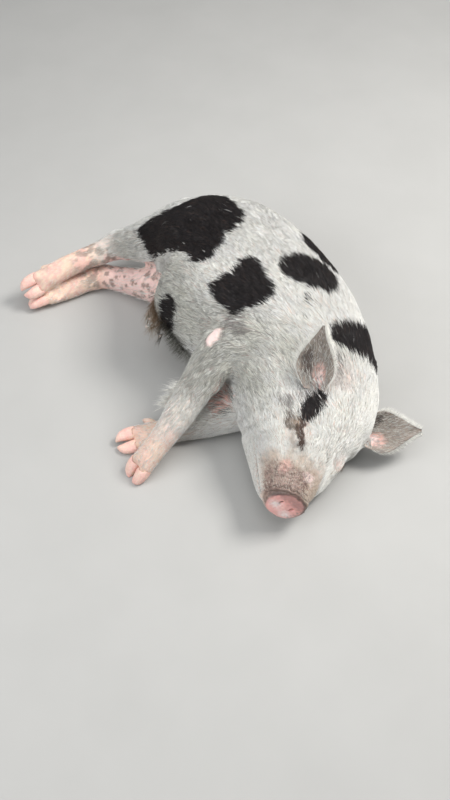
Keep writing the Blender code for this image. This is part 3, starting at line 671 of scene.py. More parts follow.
BLACK_PATCHES = (
    # Rump.
    Blotch((
        (-228, 174, 157), (-200, 166, 183), (-169, 168, 204), (-137, 167, 227),
        (-108, 182, 226), (-84, 187, 225), (-58, 185, 225), (-34, 146, 239), (-22, 108, 247),
        (-34, 74, 252), (-56, 58, 253), (-66, 22, 254), (-86, -2, 249), (-116, -8, 237),
        (-128, 28, 235), (-150, 46, 219), (-168, 68, 198), (-190, 92, 168), (-216, 128, 150),
        (-228, 153, 152),
    )),
    # Flank.
    Blotch((
        (-36, -13, 257), (-14, -9, 258), (8, -12, 258), (2, -34, 257), (18, -57, 255),
        (30, -76, 253), (20, -98, 250), (-3, -110, 242), (-26, -108, 232), (-44, -112, 222),
        (-62, -92, 227), (-82, -72, 230), (-84, -54, 237), (-66, -43, 247), (-45, -34, 253),
    )),
    # Loin.
    Blotch((
        (33, -22, 256), (48, 0, 254), (71, 15, 247), (94, 16, 239), (118, 9, 228),
        (138, -2, 216), (145, -32, 218), (133, -68, 230), (109, -66, 240), (86, -65, 247),
        (63, -57, 252), (44, -45, 256),
    )),
    # Edge of the back.
    Blotch((
        (82, 100, 212), (88, 66, 225), (98, 45, 227), (110, 28, 225), (122, 14, 221),
        (136, 4, 213), (160, 12, 180), (165, 35, 140), (150, 68, 122), (125, 96, 130),
        (100, 112, 176),
    )),
    # Nape.
    Blotch((
        (124, -158, 216), (124, -142, 221), (135, -128, 222), (152, -119, 216),
        (173, -114, 202), (197, -92, 168), (216, -110, 130), (220, -140, 100), (216, -168, 112),
        (206, -178, 150), (183, -169, 185), (160, -174, 198), (146, -165, 207),
        (133, -163, 212),
    )),
    # Belly.
    Blotch(
        (
            (-170, -30, 182), (-150, -42, 193), (-144, -60, 180), (-150, -66, 150),
            (-156, -64, 115), (-172, -50, 105), (-180, -30, 140),
        ),
        ragged=0.0024, soft=0.003,
    ),
    # Under and behind, where the photograph doesn't reach.
    Patch(((60, 190, 110, 34), (30, 215, 80, 26))),
    Patch(((200, -40, 70, 30), (205, -80, 62, 24))),
)
BROW = Blotch((
    (66, -276, 168), (69, -263, 174), (80, -250, 181), (96, -241, 184), (112, -246, 182),
    (116, -257, 178), (103, -271, 171), (93, -284, 163), (77, -288, 160), (69, -284, 163),
), ragged=0.0016, soft=0.0026)
DOT = Blotch(
    ((75, -87, 246), (87, -81, 245), (100, -93, 242), (87, -100, 243)),
    ragged=0.0024, soft=0.004,
)
GREY_ZONES = Patch((
    (-150, -20, 190, 50), (-137, -75, 164, 55), (-112, -100, 195, 40), (-70, -150, 185, 50),
    (-100, -180, 150, 40), (-10, -150, 210, 40), (-10, -215, 155, 30), (55, -180, 210, 24),
    (-170, 0, 140, 50), (-245, 160, 115, 30),
), ragged=0.009, soft=0.026, melt=0.012)
SMOKE = Patch((
    (-49, -110, 220, 13), (-42, -124, 218, 15), (-33, -139, 217, 11), (-56, -122, 211, 9),
    (45, -258, 168, 10), (90, -231, 188, 14), (78, -240, 184, 10), (128, -190, 201, 12),
), ragged=0.006, soft=0.011)
DUSK = Patch(
    ((-170, -50, 105, 20), (-158, -75, 100, 22), (-140, -95, 96, 20), (-122, -112, 94, 18)),
    ragged=0.006, soft=0.01,
)
SNOUT_PINK = Patch(((43, -353, 116, 8.5), (46, -346, 119, 6)), soft=0.0045)
# Painted highlight on top of the snout bridge.
SNOUT_HIGHLIGHT = Patch(
    ((84, -360, 93, 8), (88, -368, 83, 6), (78, -357, 101, 5)),
    ragged=0.0024, soft=0.004,
)
EYE_STAIN = Patch((
    (62, -278, 164, 4.2), (70, -284, 161, 5.2), (73, -292, 156, 5.4), (67, -302, 152, 6),
    (68, -311, 148, 6.4), (70, -318, 140, 6), (71, -324, 131, 4),
), ragged=0.002, soft=0.0024)
LID_PATCH = Patch(
    ((51, -280, 160, 9), (51, -291, 155, 9), (61, -293, 154, 8)),
    ragged=0.0014, soft=0.0026,
)
LID_TAN = Patch(((60, -290, 156, 4.2), (65, -285, 160, 3)), ragged=0.0018, soft=0.0026)
TEAR_PATH = Patch(
    ((56, -306, 149, 3.2), (55, -312, 145, 3.4), (57, -318, 141, 2.8)),
    ragged=0.001, soft=0.0018,
)
CALLUS = Patch(
    ((-71, -131, 203, 6.6), (-77, -139, 199, 9.4), (-84, -146, 191, 7.8)),
    ragged=0.0012, soft=0.0014,
)
AXILLA = Patch(
    ((-62, -181, 82, 24), (-69, -200, 77, 20), (-56, -200, 100, 18), (-66, -192, 126, 13)),
    ragged=0.004, soft=0.008,
)
NAPE_PINK = Patch(
    ((130, -226, 187, 18), (146, -234, 182, 20), (152, -214, 186, 14)),
    ragged=0.006, soft=0.011,
)
GROIN = Patch(
    ((-196, 70, 80, 40), (-190, 30, 85, 30)),
    ragged=0.004, soft=0.012,
)


@dataclass(frozen=True)
class Pigments:
    """Plain colours that the markings mix."""

    pale: Triple = (0.74, 0.68, 0.62)
    pink: Triple = (0.8, 0.5, 0.44)
    rose: Triple = (0.94, 0.5, 0.46)
    # sheen is the colour of the painted highlights on the snout disc.
    sheen: Triple = (0.98, 0.86, 0.84)
    # blush is a pale pink of the skin, also used for the painted highlights in the ear cups and on
    # the snout bridge.
    blush: Triple = (0.9, 0.74, 0.71)
    cream: Triple = (0.86, 0.66, 0.53)
    slate: Triple = (0.26, 0.24, 0.23)
    mauve: Triple = (0.32, 0.235, 0.205)
    tan: Triple = (0.45, 0.36, 0.28)
    plum: Triple = (0.3, 0.165, 0.155)
    net: Triple = (0.09, 0.066, 0.06)
    umber: Triple = (0.1, 0.065, 0.052)
    bark: Triple = (0.29, 0.255, 0.22)
    soot: Triple = (0.03, 0.027, 0.028)
    white_hair: Triple = (0.9, 0.895, 0.86)
    straw_hair: Triple = (0.66, 0.655, 0.58)
    ash_hair: Triple = (0.36, 0.36, 0.34)
    dusk_hair: Triple = (0.085, 0.08, 0.066)
    black_hair: Triple = (0.021, 0.018, 0.019)


def lay(under: Array, *layers: tuple[Triple, Array]) -> Array:
    """Lay colours over others, one after the other.

    Args:
        under: Rows of colours.
        *layers: A colour with the share that it covers of each row.

    Returns:
        Rows of mixed colours.
    """
    for over, cover in layers:
        share = np.clip(cover, 0.0, 1.0)[:, None]
        under = under * (1.0 - share) + np.array(over) * share
    return under


class Markings:
    """Colours of hide and bristles at any site."""

    pigments = Pigments()
    # Middles of the painted highlights on the snout disc, left and up from its middle.
    wet_spots = ((-0.017, -0.008), (0.015, -0.014))
    sure_black = 0.998

    def black(self, points: Array, widen: float = 0.0) -> Array:
        """Cover of the black patches, grown by a distance."""
        return np.maximum.reduce([patch.cover(points, widen) for patch in BLACK_PATCHES])

    @staticmethod
    def bridge(site: Site) -> Array:
        """Cover of the thinly haired wrinkled skin above the snout disc."""
        behind, left, up = site.head.T
        top = ease(-0.034, -0.014, up)
        edge = behind + 0.1 * np.abs(left + 0.004) + 0.006 * Wobble(0.03, 11)(site.points)
        zone = ease(0.084, 0.052, edge) * top
        return zone * site.within(Region.HEAD)

    @staticmethod
    def disc(site: Site) -> Array:
        """Cover of the wet pink disc of the snout."""
        reach = HEAD.disc_reach(site.head)
        return ease(1.02, 0.92, reach) * ease(0.016, 0.01, site.head[:, 0])

    @staticmethod
    def rim(site: Site) -> Array:
        """Cover of the dark rim over the upper half of the disc."""
        behind, _, up = site.head.T
        ring = ease(0.86, 0.98, HEAD.disc_reach(site.head)) * ease(0.013, 0.008, behind)
        return ring * ease(-0.45, 0.25, up / 0.027)

    @staticmethod
    def foot(site: Site) -> Array:
        """Share of bare cream and pink skin toward each foot."""
        cover = np.zeros(len(site.points))
        for region, start, end in (
            (Region.HIND_RIGHT, 0.56, 0.74),
            (Region.HIND_LEFT, 0.44, 0.62),
            (Region.FORE_RIGHT, 0.6, 0.9),
            (Region.FORE_LEFT, 0.5, 0.72),
        ):
            inside = site.within(region)
            cover = np.where(inside, ease(start, end, site.along), cover)
        return cover

    def hock_mottle(self, site: Site) -> Array:
        """Grey mottling over the hind shanks."""
        shank = np.zeros(len(site.points))
        for region, start, full, fade, end in (
            (Region.HIND_RIGHT, 0.46, 0.54, 0.72, 0.9),
            (Region.HIND_LEFT, 0.52, 0.6, 0.68, 0.84),
        ):
            held = site.within(region) * ease(start, full, site.along)
            shank += held * ease(end, fade, site.along)
        return np.clip(shank * Spots(0.0165, 21, (0.34, 0.62))(site.points), 0, 1)

    def thigh_spots(self, site: Site) -> Array:
        """Brown spots on the pink inside of the left hind leg."""
        return self.inner_thigh(site) * Spots(0.0125, 31)(site.points)

    @staticmethod
    def inner_thigh(site: Site) -> Array:
        """Cover of the nearly bald pink inside of the left thigh."""
        held = site.within(Region.HIND_LEFT) * ease(0.72, 0.56, site.along)
        x, y, z = site.points.T
        beneath = (x < -0.15) & (x > -0.3) & (y > 0.02) & (y < 0.17)
        top = 0.092 + 1.2 * np.clip(x + 0.215, 0.0, 0.05)
        root = ease(0.006, -0.004, z - top) * ease(0.02, 0.045, y) * beneath
        return np.maximum(held, root * ease(-0.156, -0.168, x))

    def pinkness(self, site: Site) -> Array:
        """Where blood shows pink through thin hair."""
        points = site.points
        thin = (AXILLA.cover(points), 0.24 * NAPE_PINK.cover(points), 0.7 * GROIN.cover(points))
        return np.maximum.reduce((self.inner_thigh(site), *thin))

    def ear_parts(self, site: Site) -> tuple[Array, Array, Array]:
        """Cover of ear skin, of its dark marks, and of the pink in its cup, whose strongest middle
        also places a painted highlight.
        """
        points = site.points
        held, dark, flush = np.zeros((3, len(points)))
        for ear in EARS:
            s, x, off = ear.place(points)
            inside = site.within(ear.region)
            root = (s > -0.1) & (s < 0.3) & (np.abs(x) < 1) & (off > 0) & (off < 0.014)
            cup = (inside | root) * (off > -0.0004)
            held = np.where(inside | root, np.maximum(held, ease(-0.08, 0.1, s)), held)
            drawn = points - 0.82 * (points @ ear.axis)[:, None] * ear.axis
            streak = Wobble(0.0048, 41)(drawn)
            pink = self._oval(s, x, ear.flush) + 0.1 * streak
            shade = self._oval(s, x, ear.shade) + 0.2 * streak
            # The second, higher step raises the middle of the flush, where the hide lays a painted
            # highlight.
            rosy = 0.8 * ease(0.3, 0.62, pink) + 0.2 * ease(0.72, 0.92, pink)
            flush = np.maximum(flush, rosy * cup)
            dark = np.maximum(dark, ease(0.2, 0.55, shade) * cup)
            dark = np.maximum(dark, 0.55 * ease(0.2, 0.9, streak) * inside * (off > 0))
        return held, dark, flush

    @staticmethod
    def _oval(s: Array, x: Array, oval: Quad) -> Array:
        """Bell over an oval of the ear: middle and half sizes along and across."""
        return bell(np.hypot((s - oval[0]) / oval[2], (x - oval[1]) / oval[3]), 1.0)

    def hide(self, site: Site) -> Array:
        """Colour of the bare skin.

        Args:
            site: Where to read it.

        Returns:
            Rows of red, green and blue.
        """
        tone = self.pigments
        points = site.points
        behind, left, _ = site.head.T
        fine = Wobble(0.012, 51)(points)
        broad = Wobble(0.06, 52)(points)
        foot = self.foot(site)
        hind = site.within(Region.HIND_LEFT, Region.HIND_RIGHT)
        flushed = foot * np.where(hind, 0.8, 0.45) * ease(-0.5, 0.7, broad + fine)
        held, dark, flush = self.ear_parts(site)
        bridge = self.bridge(site)
        west = ease(0.014, -0.002, left + 0.004 * fine)
        near = ease(0.066, 0.046, behind + 0.003 * fine)
        freckles = Spots(0.0075, 61, (0.3, 0.66), 0.12)(points) * bridge * near
        net = bell(Wobble(0.0085, 61)(points), 0.2) * bridge * near
        colour = lay(
            np.tile(np.array(tone.pale), (len(points), 1)),
            (tone.slate, 0.55 * GREY_ZONES.cover(points)),
            (tone.slate, 0.8 * SMOKE.cover(points)),
            (tone.dusk_hair, 0.8 * DUSK.cover(points)),
            (tone.pink, 0.12 + 0.12 * broad),
            (tone.pink, self.pinkness(site)),
            (tone.blush, 0.55 * self.inner_thigh(site)),
            (tone.mauve, 0.5 * AXILLA.cover(points) * ease(-0.3, 0.7, fine)),
            (tone.cream, foot),
            (tone.pink, flushed),
            (tone.bark, 0.75 * self.hock_mottle(site)),
            (tone.mauve, 0.9 * self.thigh_spots(site)),
            (tone.blush, 0.85 * CALLUS.cover(points)),
            (tone.slate, 0.6 * self.black(points, 0.004)),
            (tone.soot, self.black(points, 0.001)),
            (tone.soot, 0.9 * BROW.cover(points)),
            (tone.bark, held),
            (tone.pink, flush),
            # Painted highlight in the middle of each ear's cup.
            (tone.blush, 0.75 * ease(0.84, 0.98, flush)),
            (tone.net, 0.85 * dark),
            (tone.tan, 0.8 * bridge),
            (tone.mauve, 0.9 * bridge * west * near),
            (tone.pink, 0.65 * SNOUT_PINK.cover(points)),
            # Painted highlight on the snout bridge.
            (tone.blush, 0.85 * SNOUT_HIGHLIGHT.cover(points)),
            (tone.umber, freckles * (0.16 + 0.36 * west)),
            (tone.net, net * (0.1 + 0.34 * west)),
            (tone.bark, 0.95 * LID_PATCH.cover(points)),
            (tone.umber, 0.95 * EYE_STAIN.cover(points)),
            (tone.tan, 0.55 * LID_TAN.cover(points)),
            (tone.pale, 0.85 * TEAR_PATH.cover(points)),
        )
        return lay(self._wet_disc(colour, site), *self.creases(site))

    def _wet_disc(self, colour: Array, site: Site) -> Array:
        """Lay the snout disc over other colours: rose with painted highlights, plum above, and
        grey to the left as painted shade.

        Args:
            colour: Rows of colours under it.
            site: Where to read it.

        Returns:
            Rows of mixed colours.
        """
        tone = self.pigments
        _, left, up = site.head.T
        disc = self.disc(site)
        fine = Wobble(0.01, 53)(site.points)
        colour = lay(colour, (tone.rose, disc))
        # Painted highlights: near-white spots on the wet disc.
        for x, y in self.wet_spots:
            spot = bell(np.hypot((left - x) / 0.012, (up - y) / 0.008), 1.0)
            colour = lay(colour, (tone.sheen, disc * np.clip(spot * (1.0 + 0.3 * fine), 0, 1)))
        brow = ease(0.004, 0.015, up + 0.002 * fine)
        # Painted shade: the disc greys toward the left side of the face.
        side = ease(0.022, 0.034, left + 0.003 * fine)
        return lay(
            colour,
            (tone.plum, 0.62 * disc * brow),
            (tone.mauve, 0.6 * disc * side),
            (tone.net, 0.8 * self.rim(site)),
        )

    def creases(self, site: Site) -> list[tuple[Triple, Array]]:
        """Painted shade in the folds and furrows round the snout, along the mouth, in the eye
        slits and in the nostrils.

        Args:
            site: Where to read them.

        Returns:
            Pairs of a colour and its cover.
        """
        tone = self.pigments
        west = ease(0.02, -0.004, site.head[:, 1])
        folds = FACE.fold_depth(site.head) * self.bridge(site) * (0.25 + 0.75 * west)
        first = ease(2.3, 1.4, FACE.fold_phase(site.head))
        fine = Wobble(0.016, 82)(site.points)
        behind, left, up = site.head.T
        gaps = FACE.furrow_gaps(behind, fine)
        rim, disc, east = (bell(gap, width) for gap, width in zip(gaps, FACE.furrow_lines))
        arcs = np.maximum.reduce((rim, disc, ease(-0.004, 0.01, left) * east))
        arcs = arcs * ease(-0.02, 0.004, up) * site.within(Region.HEAD)
        mouth = FACE.mouth_line(site.head)
        slits = np.maximum.reduce([FACE.slit(eye, site.points) for eye in EYES])
        pits = FACE.nostril(site.head)
        return [
            # Painted shade, laid into the carved folds, furrows, mouth line, eye slits and
            # nostrils.
            (tone.net, 0.45 * ease(0.3, 0.9, folds) * (0.22 + 0.78 * first)),
            (tone.umber, 0.95 * arcs),
            (tone.umber, 0.85 * mouth),
            (tone.soot, slits),
            (tone.umber, 0.85 * ease(0.3, 0.9, pits)),
        ]

    def bristle(self, site: Site, reach: Array, draw: Draw) -> Array:
        """Colour of each tuft, read where most of it shows.

        Args:
            site: Roots of the tufts.
            reach: Way from each root to the tip.
            draw: Seeded source of variation.

        Returns:
            Rows of red, green and blue.
        """
        tone = self.pigments
        points = site.points
        count = len(points)
        shown = points + draw.normal(0.6, 0.15, count)[:, None] * reach
        zone = GREY_ZONES.cover(points)
        colour = lay(
            np.tile(np.array(tone.white_hair), (count, 1)),
            (tone.straw_hair, zone * draw.uniform(0.2, 0.9, count)),
            (tone.blush, 0.3 * NAPE_PINK.cover(points)),
        )
        held, dark, _ = self.ear_parts(site)
        ashen = (0.06 + 0.3 * zone, 0.6 * self.hock_mottle(site), 0.7 * held)
        is_ash = draw.random(count) < np.maximum.reduce(ashen)
        ash = is_ash * draw.uniform(0.35, 1.0, count)
        is_smoke = draw.random(count) < 0.92 * SMOKE.cover(shown)
        smoke = is_smoke * draw.uniform(0.5, 1.0, count)
        is_dusk = draw.random(count) < 0.8 * DUSK.cover(shown) + 0.85 * dark
        is_dusk = is_dusk | (draw.random(count) < 0.4 * AXILLA.cover(shown))
        dusk = is_dusk * draw.uniform(0.5, 1.0, count)
        strand = draw.random(count)
        colour = lay(
            colour,
            (tone.ash_hair, ash),
            (tone.slate, smoke),
            (tone.dusk_hair, dusk),
            (tone.tan, 0.7 * self.bridge(site)),
            (tone.bark, (strand < 0.9) * LID_PATCH.cover(shown)),
            (tone.umber, (strand < 0.22) * LID_PATCH.cover(shown)),
            (tone.umber, (strand < 0.93) * EYE_STAIN.cover(shown)),
            (tone.tan, (strand < 0.5) * LID_TAN.cover(shown)),
            (tone.pale, 0.9 * TEAR_PATH.cover(shown)),
        )
        chance = (self.black(shown), BROW.cover(shown), 0.6 * DOT.cover(shown))
        is_black = draw.random(count) < np.maximum.reduce(chance) * self.sure_black
        colour = np.where(is_black[:, None], np.array(tone.black_hair), colour)
        rusty = is_black * (draw.random(count) < 0.12)
        colour = lay(colour, (tone.umber, 0.4 * rusty))
        shade = draw.normal(1.0, 0.07 + 0.22 * is_black, count)
        warm = draw.normal(0.0, 0.012, count)
        colour = colour * shade[:, None] * np.stack((1 + warm, np.ones(count), 1 - warm), 1)
        return np.clip(colour, 0.0, 0.95)


MARKINGS = Markings()


# The face: folds, lids, lips and nostrils, carved into the skin.


@dataclass(frozen=True)
class FaceCarving:
    """Sizes of the details of the face, in head distances."""

    nostril_left: float = 0.0135
    nostril_up: float = 0.001
    nostril_half: Pair = (0.0036, 0.0054)
    nostril_depth: float = 0.007
    fold_pitch: float = 0.0074
    fold_rise: float = 0.0009
    slit_half_length: float = 0.013
    slit_half_width: float = 0.00085
    lid_rise: float = 0.0026
    mouth_depth: float = 0.0024
    mouth_start: float = 0.012
    mouth_length: float = 0.088
    mouth_drop: float = 0.033
    mouth_bow: float = 0.012
    mouth_side: float = 0.012
    lip_rise: float = 0.0009
    slit_depth: float = 0.0024
    lid_half: Pair = (0.015, 0.0085)
    crease_half: Pair = (0.0185, 0.0098)
    crease_depth: float = 0.0009
    outer_half: Pair = (0.021, 0.0145)
    outer_depth: float = 0.0004
    lash_rise: float = 0.0006
    ring_rise: float = 0.0008
    grain: float = 0.00025
    furrows: tuple[Pair, ...] = (
        (0.0088, 0.0008), (0.0158, 0.0016), (0.0226, 0.003),
    )
    furrow_depths: tuple[float, ...] = (0.0012, 0.0014)
    furrow_widths: tuple[float, ...] = (0.0016, 0.002)
    furrow_lines: tuple[float, ...] = (0.0017, 0.0018, 0.0012)

    def furrow_gaps(self, behind: Array, waver: Array) -> list[Array]:
        """Distance behind each of the three furrows round the snout disc."""
        return [behind - place + swing * waver for place, swing in self.furrows]

    def nostril(self, head: Array) -> Array:
        """Share of depth of the two nostrils."""
        behind, left, up = head.T
        total = np.zeros(len(head))
        for side in (-1, 1):
            x = left - side * self.nostril_left
            y = up - self.nostril_up
            across = (x - side * 0.35 * y) / self.nostril_half[0]
            upright = (y + side * 0.35 * x) / self.nostril_half[1]
            reach = np.hypot(across, upright)
            total = np.maximum(total, ease(1.15, 0.55, reach))
        return total * ease(0.014, 0.01, behind)

    def fold_phase(self, head: Array) -> Array:
        """Place in the run of snout folds, growing with distance from the disc."""
        behind, left, _ = head.T
        bow = 0.1 * np.abs(left) + 1.2 * left**2
        waver = 0.0016 * Wobble(0.02, 71)(head)
        return (behind + bow + waver - 0.016) / self.fold_pitch

    def fold_depth(self, head: Array) -> Array:
        """How deep in a fold each point lies, from 0 to 1."""
        phase = self.fold_phase(head)
        valley = np.abs(np.mod(phase + 0.5, 1.0) - 0.5) * 2.0
        zone = ease(0.2, 0.5, phase) * ease(5.6, 4.0, phase)
        return (1.0 - ease(0.0, 0.42, valley)) * zone

    def mouth_place(self, head: Array) -> tuple[Array, Array, Array]:
        """Share along the closed mouth, height over it, and which points are beside it."""
        behind, left, up = head.T
        t = (behind - self.mouth_start) / self.mouth_length
        line = -self.mouth_drop - self.mouth_bow * t + self.mouth_bow * t * t
        return t, up - line, np.abs(left) > self.mouth_side

    def mouth_line(self, head: Array) -> Array:
        """How near each point is to the closed mouth, from 0 to 1."""
        t, height, beside = self.mouth_place(head)
        ends = ease(-0.04, 0.06, t) * ease(1.04, 0.9, t)
        return bell(height, 0.0017) * ends * beside

    def lip_swell(self, head: Array) -> Array:
        """Soft swelling above and below the mouth."""
        t, height, beside = self.mouth_place(head)
        ends = ease(-0.04, 0.1, t) * ease(1.0, 0.75, t)
        return (bell(height - 0.005, 0.004) + bell(height + 0.005, 0.004)) * ends * beside

    def slit(self, eye: EyePlace, points: Array) -> Array:
        """How near each point is to the slit of an eye."""
        x, y, out = eye.local(points)
        bow = 0.0016 * (1.0 - (x / self.slit_half_length) ** 2)
        ends = ease(1.06, 0.86, np.abs(x) / self.slit_half_length)
        return bell(y + bow, self.slit_half_width) * ends * (out > 0.004)

    def lid_height(self, eye: EyePlace, points: Array) -> Array:
        """Swelling of the lids with the creases above and below them."""
        x, y, out = eye.local(points)
        near = out > 0.0
        mound = self.lid_rise * bell(x, self.lid_half[0]) * bell(y, self.lid_half[1])
        inner = np.hypot(x / self.crease_half[0], y / self.crease_half[1])
        outer = np.hypot(x / self.outer_half[0], y / self.outer_half[1])
        crease = -self.crease_depth * bell(inner - 1.0, 0.11) * ease(-0.9, 0.6, y / 0.006)
        second = -self.outer_depth * bell(outer - 1.0, 0.08)
        ends = ease(1.1, 0.7, np.abs(x) / self.slit_half_length)
        lip = self.lash_rise * bell(np.abs(y) - 0.0018, 0.0009) * ends
        return (mound + crease + second + lip) * near

    def carve(self, points: Array, normals: Array) -> Array:
        """Move skin points to form the details of the face.

        Args:
            points: Rows of world positions.
            normals: Surface normals there.

        Returns:
            The moved positions.
        """
        head = HEAD.local(points)
        behind, left, up = head.T
        near = (behind < 0.16) & (behind > -0.02) & (np.hypot(left, up) < 0.13)
        face = points[near]
        local = head[near]
        behind, _, up = local.T
        rise = np.zeros(len(face))
        above = ease(-0.026, -0.01, up)
        fine = Wobble(0.016, 82)(face)
        phase = self.fold_phase(local)
        zone = ease(0.2, 0.6, phase) * ease(5.6, 3.6, phase) * above
        swell = np.abs(np.sin(math.pi * phase)) ** 0.7 - 0.55
        rise += self.fold_rise * swell * zone
        gaps = self.furrow_gaps(behind, fine)
        for gap, depth, width in zip(gaps, self.furrow_depths, self.furrow_widths):
            rise -= depth * bell(gap, width) * above
        ring = bell(HEAD.disc_reach(local) - 0.97, 0.06)
        rise += self.ring_rise * ring * ease(0.012, 0.006, behind)
        rise -= self.mouth_depth * self.mouth_line(local)
        rise += self.lip_rise * self.lip_swell(local)
        for eye in EYES:
            rise += self.lid_height(eye, face)
            rise -= self.slit_depth * self.slit(eye, face)
        rise += self.grain * Wobble(0.006, 81)(face) * ease(0.09, 0.05, behind)
        moved = face + normals[near] * rise[:, None]
        pit = self.nostril(local)
        moved = moved - HEAD.ahead * (pit * self.nostril_depth)[:, None]
        result = points.copy()
        result[near] = moved
        return result


FACE = FaceCarving()


# Mesh helpers.


def mesh_arrays(obj: Object) -> tuple[Array, Array, Array]:
    """Read a mesh as arrays.

    Args:
        obj: A mesh object in world place.

    Returns:
        Positions, vertex normals and triangles.
    """
    mesh = obj.data
    count = len(mesh.vertices)
    points = np.empty(count * 3, np.float32)
    mesh.vertices.foreach_get("co", points)
    normals = np.empty(count * 3, np.float32)
    mesh.vertex_normals.foreach_get("vector", normals)
    mesh.calc_loop_triangles()
    triangles = np.empty(len(mesh.loop_triangles) * 3, np.int32)
    mesh.loop_triangles.foreach_get("vertices", triangles)
    return (
        points.reshape(-1, 3).astype(float),
        normals.reshape(-1, 3).astype(float),
        triangles.reshape(-1, 3),
    )


def link(name: str, data: object) -> Object:
    """Put some data into the scene as an object."""
    obj = bpy.data.objects.new(name, data)
    bpy.context.scene.collection.objects.link(obj)
    return obj


def shape(name: str, bm: bmesh.types.BMesh) -> Object:
    """Turn a working mesh into an object and free it."""
    mesh = bpy.data.meshes.new(name)
    bm.to_mesh(mesh)
    bm.free()
    return link(name, mesh)


def shade_smooth(mesh: bpy.types.Mesh) -> None:
    """Shade every face smooth."""
    mesh.polygons.foreach_set("use_smooth", np.ones(len(mesh.polygons), bool))


def set_points(obj: Object, points: Array) -> None:
    """Write positions back into a mesh."""
    obj.data.vertices.foreach_set("co", points.astype(np.float32).ravel())
    obj.data.update()


def modify(obj: Object, kind: str, **settings: object) -> None:
    """Add a modifier with its settings."""
    made = obj.modifiers.new(kind.title(), kind)
    for key, value in settings.items():
        setattr(made, key, value)


def bake_modifiers(obj: Object) -> None:
    """Turn the modified shape into the object's own mesh."""
    graph = bpy.context.evaluated_depsgraph_get()
    graph.update()
    mesh = bpy.data.meshes.new_from_object(obj.evaluated_get(graph))
    obj.modifiers.clear()
    old = obj.data
    obj.data = mesh
    bpy.data.meshes.remove(old)


def fuse(obj: Object, voxel: float, rounds: int) -> None:
    """Melt a mesh into one closed skin and soften it."""
    modify(obj, "REMESH", mode="VOXEL", voxel_size=voxel)
    modify(obj, "SMOOTH", factor=0.5, iterations=rounds)
    bake_modifiers(obj)


def triangle_object(
    name: str, points: Array, triangles: Array, colours: Array | None = None,
    uv: Array | None = None,
) -> Object:
    """Make an object from arrays.

    Args:
        name: Name of the object and mesh.
        points: Rows of positions.
        triangles: Rows of three vertex numbers.
        colours: Optional colour for each vertex.
        uv: Optional place on the OFBake map for each triangle corner.

    Returns:
        The linked object.
    """
    mesh = bpy.data.meshes.new(name)
    mesh.vertices.add(len(points))
    mesh.vertices.foreach_set("co", points.astype(np.float32).ravel())
    mesh.loops.add(len(triangles) * 3)
    mesh.loops.foreach_set("vertex_index", triangles.astype(np.int32).ravel())
    mesh.polygons.add(len(triangles))
    starts = np.arange(0, len(triangles) * 3, 3, dtype=np.int32)
    mesh.polygons.foreach_set("loop_start", starts)
    shade_smooth(mesh)
    mesh.update(calc_edges=True)
    if colours is not None:
        paint(mesh, "tint", colours)
    if uv is not None:
        layer = mesh.uv_layers.new(name="OFBake")
        layer.data.foreach_set("uv", uv.astype(np.float32).ravel())
    return link(name, mesh)


def paint(mesh: bpy.types.Mesh, name: str, colours: Array) -> None:
    """Store a colour for each vertex under a name."""
    layer = mesh.color_attributes.new(name, "FLOAT_COLOR", "POINT")
    full = np.ones((len(colours), 4), np.float32)
    full[:, :3] = colours
    layer.data.foreach_set("color", full.ravel())


def ellipsoid(centre: Array, axes: Sequence[Array], radii: Triple) -> Object:
    """Make an ellipsoid with half sizes along three directions.

    Args:
        centre: Middle of the form.
        axes: Three square directions.
        radii: Half size along each.

    Returns:
        The linked object.
    """
    bm = bmesh.new()
    bmesh.ops.create_uvsphere(bm, u_segments=24, v_segments=16, radius=1.0)
    for vertex in bm.verts:
        place = centre + sum(a * r * c for a, r, c in zip(axes, radii, vertex.co))
        vertex.co = Vector(place)
    bmesh.ops.recalc_face_normals(bm, faces=bm.faces)
    return shape("Plug", bm)


# The skin.


